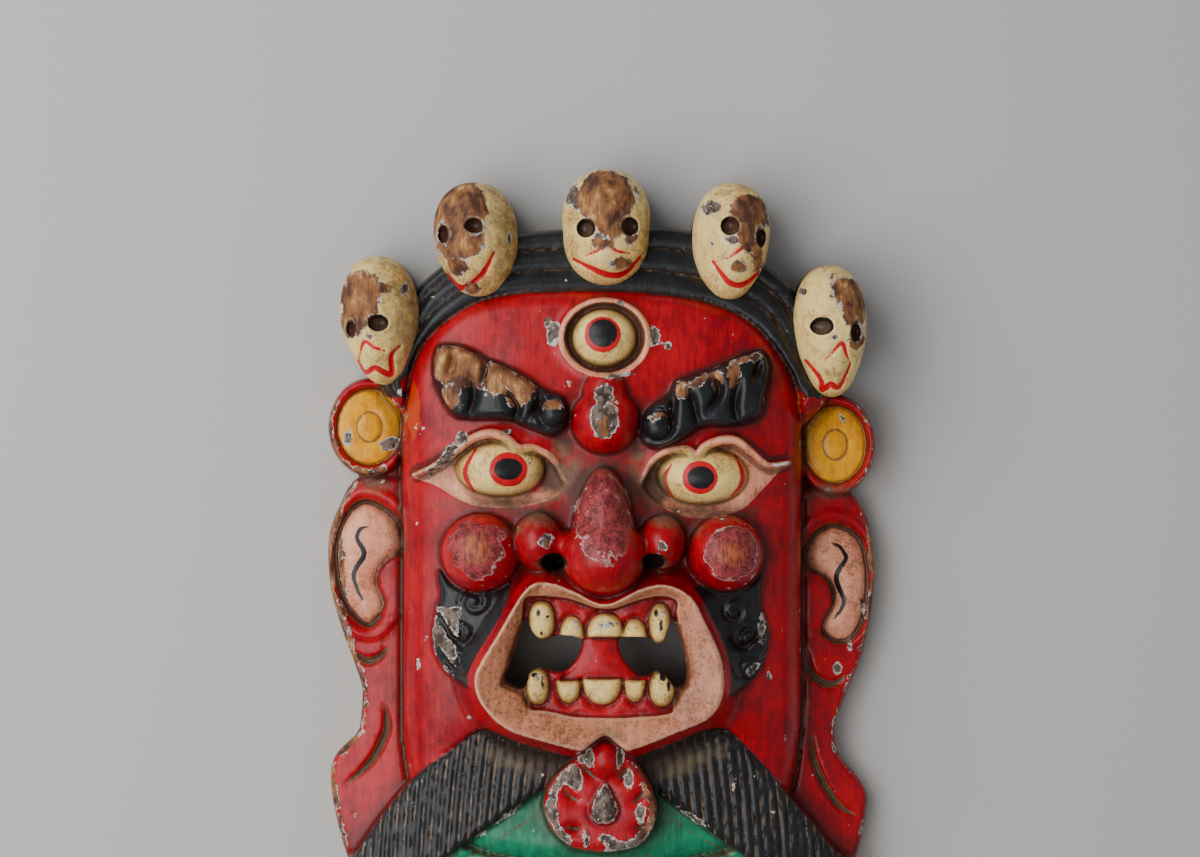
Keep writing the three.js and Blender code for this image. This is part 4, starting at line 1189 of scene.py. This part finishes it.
def groove_lines(xy):
    """Dark cuts, painted as grime and as shade: round the ears' cushions, the crescents, folds, petals and
    earring rings.
    """
    grooves, ink = [], []
    for ear in EARS:
        wide = np.where(oval(xy, *ear["tragus"]) < 1, 1.0, 3.4)
        away = -depth_in(xy, ear["pink"], 9)
        grooves.append(np.minimum(away, wide - away))
        for crescent in ear["crescents"]:
            gap, along = line_gap(xy, smooth(crescent, False), 9)
            grooves.append(0.3 + 2.4 * taper(along, 0.7) - gap)
            ink.append(1.2 * taper(along, 0.7) - 0.2 - gap)
    grooves += [0.8 - line_gap(xy, smooth(fold, False), 6)[0] for fold in COLLAR_FOLDS]
    for petal in PETALS:
        gap, along = line_gap(xy, smooth(petal, False), 6)
        grooves.append(1.3 * taper(along, 1, 0.02) - gap)
    grooves += [0.75 - np.abs(oval(xy, *ring) - 0.3) * ring[2] for ring in EARRINGS]
    return grooves, ink


def fine_coats(xy, edge):
    cream, pink, red_line, ink, moat = eye_coats(xy)
    grooves, cut_ink = groove_lines(xy)
    for ear in EARS:
        pink.append(depth_in(xy, ear["pink"], 9))
        gap, along = line_gap(xy, smooth(ear["squiggle"], False), 9)
        ink.append(0.5 + 1.2 * taper(along, 0.6) - gap)
    ink += [inside_oval(xy, spot) + 0.3 for spot in NOSTRILS + TOOTH_CHIPS]
    beside_hole = np.minimum(np.abs(xy[:, 0]) - 46, -xy[:, 1] - 25)
    off_mouth = np.maximum(-edge["mouth"], beside_hole)
    strokes = {"cream": cream, "pink": pink, "red_line": red_line, "ink": ink + cut_ink,
               "groove": grooves + [moat],
               "yellow": [(0.765 - oval(xy, *ring)) * ring[2] for ring in EARRINGS]}
    coats = {name: np.max(several, axis=0) for name, several in strokes.items()}
    coats["lip"] = np.min([edge["lips"] - 0.2, off_mouth, -edge["jewel"]], axis=0)
    return coats


print("strokes of ink: at least", 2 * len(EARS) + len(NOSTRILS) + len(TOOTH_CHIPS))

# %% [markdown]
# ## Wear and painted shade that follow the carving
# Some wear is no patch but runs along a form: the jewel's rim, the flaked whisker, the worn outer edge of
# the boards and the pale lines between the strands. The step round the face is painted dark as shade, and
# the edge under the hair band as the band's shadow.

# %% Wear along the forms
RIM_WIDE_LEFT, RIM_WIDE_RIGHT = 3.4, 1.8


def wear_and_shade_coats(xy, edge, band, beard):
    x, y = xy.T
    jewel, from_jewel = edge["jewel"], np.abs(edge["jewel"])
    worn = {name: worn_patch(xy, patches) for name, patches in WORN.items()}
    worn["rub"] = np.where(np.abs(x) < 40, np.minimum(worn["rub"], 3), worn["rub"])
    worn["orange"] = np.minimum(worn["orange"], edge["face"])
    worn["khaki"] = np.minimum(worn["khaki"], 1 - jewel + 9 * (y > -109))
    jewel_band = np.minimum(jewel - 1.3, 7.5 - jewel)
    left_band = np.min([jewel_band, -x - 19, -y - 120], axis=0)
    low_band = np.min([jewel_band, x - 2, -y - 157], axis=0)
    right_band = np.min([jewel - 2, 5.5 - jewel, x - 24, -y - 128], axis=0)
    pad = depth_in(xy, WHISKERS[0]["pad"], 8)
    flaked = np.min([pad + 0.3, -x - 93 + 0.1 * (y + 40), -y - 16], axis=0)
    for line in WHISKERS[0]["strands"]:
        flaked = np.minimum(flaked, line_gap(xy, smooth(line, False), 9)[0] - 2.2)
    primer = np.minimum(worn["primer"], from_jewel - 1.0)
    worn["primer"] = np.max([primer, left_band, low_band, edge["stone"], flaked], axis=0)
    right_rim = RIM_WIDE_RIGHT + 1.6 * ramp(-70, -20, y) * ramp(60, 20, y)
    worn_rim = np.where(x < 0, RIM_WIDE_LEFT, right_rim) - outline_depth(xy)
    worn_rim = np.where(y < 118, worn_rim, OUTSIDE)
    worn["bare"] = np.max([worn["bare"], right_band, worn_rim], axis=0)
    return {**worn, "strand": strand_lines(xy, band, beard), "stain_and_shade": stains_and_shade(xy, edge)}


def strand_lines(xy, band, beard):
    """Pale lines in the cuts of the beard, and between the strips of the hair band."""
    strand = np.abs(2 * (strand_phase(xy) % 1) - 1)
    outer, inner = depth_in(xy, BAND, 40), -depth_in(xy, HAIRLINE, 60)
    third = STRIPS * outer / np.maximum(outer + inner, 0.1)
    seam = np.minimum(np.abs(third - 1), np.abs(third - 2)) * (outer + inner) / STRIPS
    return np.where(band > 1, 0.9 - seam, np.where(beard > 0, (strand - 0.74) * 8, -3))


def stains_and_shade(xy, edge):
    """Painted shadow under the hair band, painted shade in the step round the face, and dark stain round
    bare wood.
    """
    step = np.where(xy[:, 1] < 110, 1.7 - np.abs(edge["face"] + 1.5), OUTSIDE)
    step = np.minimum(step, -edge["beard"])
    shadow_under_band = np.minimum(1.2 - np.abs(edge["hairline"] + 0.4), xy[:, 1] - 118)
    return np.max([shadow_under_band, step, 0.5 * worn_patch(xy, WORN["bare"]) + 0.4], axis=0)


print("rim worn to", RIM_WIDE_LEFT, "mm on the left and", RIM_WIDE_RIGHT, "mm on the right")

# %% All coats of the mask


def paint_mask(xy):
    edge = {name: depth_in(xy, line, 12) for name, line in LARGE_FORMS.items()}
    band, beard, grounds = large_grounds(xy, edge)
    return {**grounds, **fine_coats(xy, edge), **wear_and_shade_coats(xy, edge, band, beard)}


places = corners_of(even) / MM
coats = paint_mask(places[:, :2])
coats["raw"] = np.clip(back_level(places[:, :2]) + 3 - places[:, 2], OUTSIDE, 9)
print("corners under each coat:", {name: int((coat > 0).sum()) for name, coat in coats.items()})

# %% [markdown]
# ## Hollows and edges
# Grime gathers where the carving is hollow, and the hollows are also painted darker for the shade that
# falls in them; paint wears off where it stands proud. The relief is drawn as a picture of heights, blurred
# inside the outline only, and compared with itself: where the blurred one is higher, the place is a hollow.

# %% Hollows and edges
STEP = 1.2
FINE_BLUR, BROAD_BLUR = 5, 110


def blurred(field, inside, rounds):
    top, weight = field * inside, inside.astype(float)
    for _ in range(rounds):
        for axis in (0, 1):
            top, weight = [0.5 * a + 0.25 * (np.roll(a, 1, axis) + np.roll(a, -1, axis))
                           for a in (top, weight)]
    return top / np.maximum(weight, 1e-6)


def hollows(xy):
    """Millimetres below the blurred relief, for a fine and a broad blur."""
    across, up = np.arange(-186, 186, STEP), np.arange(-274, 274, STEP)
    spots = np.stack(np.meshgrid(across, up), -1).reshape(-1, 2)
    level = front_level(spots).reshape(len(up), len(across))
    inside = (block_edge(spots) > 0).reshape(level.shape)
    column, row = (xy[:, 0] - across[0]) / STEP, (xy[:, 1] - up[0]) / STEP
    i, j = row.astype(int), column.astype(int)
    u, v = row - i, column - j
    found = []
    for rounds in (FINE_BLUR, BROAD_BLUR):
        gap = (blurred(level, inside, rounds) - blurred(level, inside, 1)) * inside
        found.append((gap[i, j] * (1 - v) + gap[i, j + 1] * v) * (1 - u)
                     + (gap[i + 1, j] * (1 - v) + gap[i + 1, j + 1] * v) * u)
    return found


def store(mesh, masks):
    for name, values in masks.items():
        layer = mesh.attributes.new(name, "FLOAT", "POINT")
        layer.data.foreach_set("value", np.clip(values, -12, 12).astype(np.float32))


coats["fine_hollow"], coats["broad_hollow"] = hollows(places[:, :2])
store(even, coats)
for obj, skull_layers in skulls:
    absent = {name: np.full(len(obj.data.vertices), -12.0) for name in coats if name not in skull_layers}
    store(obj.data, {**absent, **skull_layers})
print("deepest hollows:", coats["fine_hollow"].max().round(1), "and",
      coats["broad_hollow"].max().round(1), "mm")

# %% [markdown]
# ## The finish
# Red enamel over a chalky primer over brown wood, with the other colours on top. All of it is made by
# nodes. To keep them readable, a value that varies over the surface is a Tone here: adding, subtracting
# or multiplying Tones makes the Math nodes for it.

# %% Tones and nodes
finish = bpy.data.materials.new("painted_wood")
finish.use_nodes = True
tree = finish.node_tree
tree.nodes.clear()


class Tone:
    """A value or colour that varies over the surface."""

    def __init__(self, socket):
        self.socket = socket

    def __add__(self, other):
        return calc("ADD", self, other)

    def __sub__(self, other):
        return calc("SUBTRACT", self, other)

    def __rsub__(self, other):
        return calc("SUBTRACT", other, self)

    def __mul__(self, other):
        return calc("MULTIPLY", self, other)


def node(kind, values, **settings):
    """A new node with its settings made and its sockets filled or linked."""
    made = tree.nodes.new("ShaderNode" + kind)
    for name, value in settings.items():
        setattr(made, name, value)
    for socket, value in values.items():
        if isinstance(value, Tone):
            tree.links.new(value.socket, made.inputs[socket])
        else:
            made.inputs[socket].default_value = value
    return made


def calc(operation, a, b):
    return Tone(node("Math", {0: a, 1: b}, operation=operation).outputs[0])


def most(a, b):
    return calc("MAXIMUM", a, b)


def mix_value(factor, a, b):
    return Tone(node("Mix", {0: factor, 2: a, 3: b}).outputs[0])


def mix_colour(factor, a, b):
    return Tone(node("Mix", {0: factor, 6: a, 7: b}, data_type="RGBA").outputs[2])


def spread(value, low, high):
    """0 below low, 1 above high, and a smooth step between."""
    return Tone(node("MapRange", {0: value, 1: low, 2: high}, interpolation_type="SMOOTHSTEP").outputs[0])


print("the finish starts with", len(tree.nodes), "nodes")

# %% [markdown]
# ## Patterns
# All patterns are noise in the object's own space, stretched along the grain or the brush. A stored coat
# comes back as a Tone too, and a little wobble on it makes a painted edge look drawn by hand.

# %% Noise, stored coats and colours
where = Tone(node("TexCoord", {}).outputs["Object"])
DARKEST_LINEAR = 10.3


def noise(size, detail=2.0, stretch=(1, 1, 1), seed=0):
    """Cloudy values round 0.5; size in millimetres, stretched along some axes."""
    scale = [1000 / size / k for k in stretch]
    shift = (seed * 3.1, seed * 1.7, seed * 2.3)
    place = node("Mapping", {"Vector": where, "Scale": scale, "Location": shift})
    cloud = {"Vector": Tone(place.outputs[0]), "Scale": 1.0, "Detail": detail, "Roughness": 0.6}
    return Tone(node("TexNoise", cloud).outputs[0])


def stored(name):
    return Tone(node("Attribute", {}, attribute_name=name).outputs["Fac"])


def paint(red, green, blue):
    """Screen colour 0 to 255 as the light it stands for."""
    return (*[(c / 255 / 12.92 if c < DARKEST_LINEAR else ((c / 255 + 0.055) / 1.055) ** 2.4)
              for c in (red, green, blue)], 1)


def mottled(light, dark, amount):
    return mix_colour(amount, paint(*light), paint(*dark))


wobble = noise(5, 3, seed=1) - 0.5
ragged = noise(7, 6, seed=2) - 0.5
streaks = noise(2.2, 3, (1, 9, 4), seed=3)
clouds = noise(34, 4, seed=5)
specks = noise(1.3, 3, seed=6)
fibres = noise(1.1, 4, (1, 14, 5), seed=7)
mottle = noise(5, 6, (1, 1.6, 1), seed=12)
brushed = spread(streaks * 0.3 + clouds * 0.4 + mottle * 0.4, 0.42, 0.72)
print("patterns:", len(tree.nodes), "nodes")

# %% [markdown]
# ## Coats
# Every coat has the same recipe: a light and a dark of one colour, mottled by brush streaks, and an edge
# taken from its stored mask. The red runs from a bright scarlet where it is thick to a browner red where
# it is thin. Cream, pink and yellow get specks of grime. Cream turns ochre at its edge, partly as painted
# shade round the sunk eyeballs and teeth, and lip turns paler at its edge.

# %% Coats


def coat_edge(name, soft=0.3, shake=1.2, shift=0.0):
    return spread(stored(name) + wobble * shake + shift, -soft, soft)


RED_LIGHT, RED_DARK = (190, 0, 22), (122, 2, 22)
COATS = [
    ("green", (34, 146, 104), (16, 104, 74)),
    ("yellow", (255, 180, 0), (208, 124, 0)),
    ("pink", (252, 174, 136), (224, 134, 104)),
    ("lip", (208, 138, 102), (160, 94, 66)),
    ("cream", (255, 224, 142), (232, 188, 108)),
    ("red_line", (218, 24, 36), (180, 14, 24)),
    ("black", (36, 38, 42), (20, 20, 22)),
    ("ink", (30, 31, 34), (18, 18, 20)),
]
GRIME_SHARE = {"cream": 0.3, "pink": 0.3, "yellow": 0.12}
OCHRE, LIP_STIPPLE, LIP_RIM = paint(158, 104, 42), paint(96, 58, 44), paint(232, 186, 150)
COAT_GRIME, COAT_FLECK = paint(150, 108, 66), paint(84, 58, 42)
grime = spread(noise(9, 5, seed=19), 0.5, 0.66)
flecks = noise(1.7, 4, seed=18) * 0.65 + clouds * 0.35 + grime * 0.05
colour = mottled(RED_LIGHT, RED_DARK, brushed)
for name, light, dark in COATS:
    coat = mottled(light, dark, brushed)
    if name == "cream":
        # The ochre edge of the cream is partly painted shade round the sunk eyeballs and teeth.
        rim_tone = 1.0 - spread(stored(name) + ragged * 3, 0.2, 4.6)
        coat = mix_colour(rim_tone * 0.7, coat, OCHRE)
    if name == "lip":
        stipple = spread(noise(2.2, 3, seed=13) * 0.7 + clouds * 0.3, 0.51, 0.6)
        coat = mix_colour(stipple * 0.6, coat, LIP_STIPPLE)
        rim_tone = 1.0 - spread(stored(name), 0.4, 2.2)
        coat = mix_colour(rim_tone * 0.7, coat, LIP_RIM)
    if name in GRIME_SHARE:
        share = GRIME_SHARE[name]
        coat = mix_colour(grime * share, coat, COAT_GRIME)
        coat = mix_colour(spread(flecks, 0.54, 0.6) * (1.6 * share), coat, COAT_FLECK)
    colour = mix_colour(coat_edge(name), colour, coat)
print("coats laid on the red:", len(COATS))

# %% [markdown]
# ## Grime and painted shade
# Dust and lamp smoke fill the cuts and hollows, and both are painted darker for the shade in them as well.
# In the deep cuts it is brown, between the strands of the beard a pale line, and round the root of the nose
# and under the mouth a khaki cake, which at the root of the nose is painted shade too.

# %% Grime and painted shade
# The dark brown after the pale strand colour is painted into cuts and hollows, for grime and for painted
# shade.
STRAND_PALE, GRIME_AND_SHADE_BROWN, HAIRLINE_CRACK, ORANGE = (paint(148, 118, 84), paint(48, 26, 22), paint(70, 40, 30),
                                             paint(196, 60, 10))
# The deep khaki is painted shade in broad hollows.
KHAKI_LIGHT, KHAKI_DEEP, KHAKI_SPOT = paint(118, 102, 78), paint(58, 44, 36), paint(74, 56, 44)
# Cuts and moats are painted dark brown, partly as grime and partly as the shade in them.
groove = coat_edge("groove", 0.5)
colour = mix_colour(groove * 0.85, colour, mottled((116, 94, 68), (68, 50, 38), brushed))
strand = spread(stored("strand") + wobble * 2.5, -0.2, 1.2)
strand = strand * spread(noise(5, 4, (1, 3, 1), seed=20), 0.42, 0.6)
colour = mix_colour(strand * 0.8, colour, STRAND_PALE)

fine, broad = stored("fine_hollow"), stored("broad_hollow")
# Cuts are painted darker for grime and painted shade, broad hollows darker as painted shade.
grime_and_shade_in_cuts = spread(fine + ragged * 0.6, 0.2, 1.0)
shade_in_hollows = spread(broad + ragged * 2.0, 1.0, 6.0)
grime_and_shade = most(grime_and_shade_in_cuts * 0.7, shade_in_hollows * 0.4) * (1.0 - groove * 0.35)
colour = mix_colour(grime_and_shade, colour, GRIME_AND_SHADE_BROWN)
cracks = spread(noise(0.8, 2, (1, 16, 6), seed=11), 0.6, 0.72)
colour = mix_colour(cracks * 0.3, colour, HAIRLINE_CRACK)

# Khaki is caked grime; at the root of the nose, the inner eye corners and the right side of each skull it
# is painted shade, and it turns deeper khaki as painted shade in broad hollows.
khaki = spread(stored("khaki") + ragged * 16, -4, 6)
khaki_and_shade = mix_colour(spread(broad, 0.5, 4.5), KHAKI_LIGHT, KHAKI_DEEP)
khaki_and_shade = mix_colour(spread(mottle, 0.42, 0.6) * 0.5, khaki_and_shade, KHAKI_SPOT)
colour = mix_colour(khaki * 0.85, colour, khaki_and_shade)
orange = spread(stored("orange") + ragged * 6, 0, 0.5)
colour = mix_colour(orange * 0.8, colour, ORANGE)
print("with grime:", len(tree.nodes), "nodes")

# %% [markdown]
# ## Rubbed places
# On the nose and the cheek knobs the red is rubbed thin. It turns mauve there, browner in the middle,
# with a broken pale ring where the primer comes through.

# %% Rubbed places
rough_edge = ragged * 7 + (noise(1.8, 3, seed=8) - 0.5) * 2.4
rub_depth = stored("rub") + rough_edge * 1.1 + (noise(13, 3, seed=17) - 0.5) * 12
mauve = mottled((174, 68, 70), (90, 32, 36), spread(specks * 0.5 + mottle * 0.5, 0.4, 0.6))
core = mottled((182, 98, 54), (116, 46, 40), spread(fibres * 0.5 + mottle * 0.5, 0.42, 0.58))
rubbed = mix_colour(spread(rub_depth, 6, 11) * 0.8, mauve, core)
broken_ring = (1.0 - spread(rub_depth, 0.5, 1.3)) * spread(clouds, 0.42, 0.55)
rubbed = mix_colour(broken_ring, rubbed, paint(190, 160, 150))
rub = spread(rub_depth, 0, 0.4)
colour = mix_colour(rub, colour, rubbed)
print("with rubbed places:", len(tree.nodes), "nodes")

# %% [markdown]
# ## Bare places
# Where the coats are gone, wear goes through them in order, so a thin pale ring of primer shows round
# each spot of brown wood. The mask grows or shrinks by a ragged noise, and paint holds on in the cuts.

# %% Bare places
WOOD_DARK, WOOD_BROWN, WOOD_PALE = paint(80, 50, 38), paint(148, 96, 58), paint(216, 166, 106)
WOOD_PORE, PRIMER_PALE, PRIMER_GREY = paint(74, 48, 38), paint(226, 218, 206), paint(170, 160, 150)
CHALK = paint(206, 200, 192)
knots = noise(10, 6, (1, 1.8, 1), seed=9)
wood = mix_colour(spread(knots, 0.38, 0.54), WOOD_DARK, WOOD_BROWN)
wood = mix_colour(spread(knots, 0.54, 0.7), wood, WOOD_PALE)
wood = mix_colour(spread(fibres, 0.5, 0.62) * 0.45, wood, WOOD_PORE)
primer = mix_colour(spread(specks, 0.4, 0.65), PRIMER_PALE, PRIMER_GREY)

chips = spread(noise(8, 6, seed=10) - fine * 0.03, 0.7, 0.71)
kept_in_cuts = most(fine - 0.15, 0.0) * 6
bare_edge = stored("bare") + rough_edge - kept_in_cuts + (mottle - 0.5) * 8
ring = bare_edge + (noise(11, 2, seed=14) - 0.42) * 5
primer_edge = most(stored("primer") + rough_edge, ring)
primer_shows = most(spread(primer_edge, 0.2, 0.5), chips)
# Painted shadow under the hair band and painted shade in the step round the face, with dark stain round
# bare wood.
stain_and_shade = spread(stored("stain_and_shade") + rough_edge * 0.5, 0, 0.8)
colour = mix_colour(stain_and_shade * 0.8, colour, mottled((84, 50, 36), (50, 28, 24), brushed))
ground = mottled((120, 104, 93), (62, 48, 42), spread(mottle, 0.4, 0.6))
ground = mix_colour(spread(noise(2.4, 4, seed=15), 0.6, 0.68), ground, CHALK)
whole_rim = (1.0 - spread(primer_edge, 0.7, 1.5)) * spread(noise(6, 3, seed=16), 0.4, 0.5)
ground = mix_colour(whole_rim, ground, primer)
colour = mix_colour(primer_shows, colour, ground)
bare_shows = most(spread(bare_edge, 0.2, 0.6), coat_edge("raw", 0.3, 4))
colour = mix_colour(bare_shows, colour, wood)
print("with bare places:", len(tree.nodes), "nodes")

# %% [markdown]
# ## Gloss and touch
# The enamel is glossy, the worn places and the grime are dull. Brush strokes, the facets of the knife and
# the step from paint down to wood are too small to model, so they bump the surface.

# %% Surface
GLOSSY, MATT = 0.2, 0.68
KNIFE_FACETS = 90
worn = most(bare_shows, primer_shows)
dull = most(most(worn, khaki * 0.8), rub * 0.45)
rough = mix_value(dull, mottle * 0.22 + GLOSSY, MATT)
facets = Tone(node("TexVoronoi", {"Vector": where, "Scale": KNIFE_FACETS}).outputs["Distance"])
height = streaks * 0.10 + facets * 0.16 + specks * 0.06 + fibres * bare_shows * 0.25
height = height - (primer_shows + bare_shows) * 0.12
bump = Tone(node("Bump", {"Distance": MM, "Strength": 1.0, "Height": height}).outputs[0])
shader = node("BsdfPrincipled", {"Specular IOR Level": 0.3, "Base Color": colour, "Roughness": rough,
                                 "Normal": bump})
node("OutputMaterial", {"Surface": Tone(shader.outputs[0])})
for obj in [carved] + [skull_obj for skull_obj, _ in skulls]:
    obj.data.materials.clear()
    obj.data.materials.append(finish)
    obj.data.polygons.foreach_set("use_smooth", [True] * len(obj.data.polygons))
    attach(obj, "root")
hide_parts("mask")
print("finish:", len(tree.nodes), "nodes")

# %% [markdown]
# ## Studio
# A plain pale floor and four soft lamps: the large key from the upper left, a smaller one low on the same
# side, one near the lens, and a very weak fill from the right. A dim pale sky lifts the shadows.

# %% Floor
bpy.ops.mesh.primitive_plane_add(size=8, location=(0, 0, 0))
floor = bpy.context.object
floor.name = "floor"
floor_paint = bpy.data.materials.new("floor_paint")
floor_paint.use_nodes = True
floor_shader = floor_paint.node_tree.nodes["Principled BSDF"]
floor_shader.inputs["Base Color"].default_value = paint(196, 193, 189)
floor_shader.inputs["Roughness"].default_value = 0.9
floor.data.materials.append(floor_paint)
print("floor:", floor.dimensions.x, "m wide")

# %% Lamps
# Each lamp: its place, width in metres and power in watts
LAMPS = {"key": ((-1.3, 0.85, 1.45), 1.7, 34), "low": ((-1.25, -0.5, 1.55), 1.2, 13),
         "near": ((-0.6, -0.35, 2.2), 1.0, 11), "fill": ((1.5, -0.2, 1.6), 1.6, 2)}
SKY, SKY_POWER = (0.9, 0.92, 0.95, 1), 0.27
for name, (place, size, power) in LAMPS.items():
    light = bpy.data.lights.new(name, "AREA")
    light.size = size
    light.energy = power
    lamp = bpy.data.objects.new(name, light)
    lamp.location = place
    lamp.rotation_euler = (-Vector(place)).to_track_quat("-Z", "Y").to_euler()
    bpy.context.collection.objects.link(lamp)
world = bpy.data.worlds.new("studio")
world.use_nodes = True
sky = world.node_tree.nodes["Background"]
sky.inputs[0].default_value = SKY
sky.inputs[1].default_value = SKY_POWER
bpy.context.scene.world = world
print("lamps:", ", ".join(LAMPS))
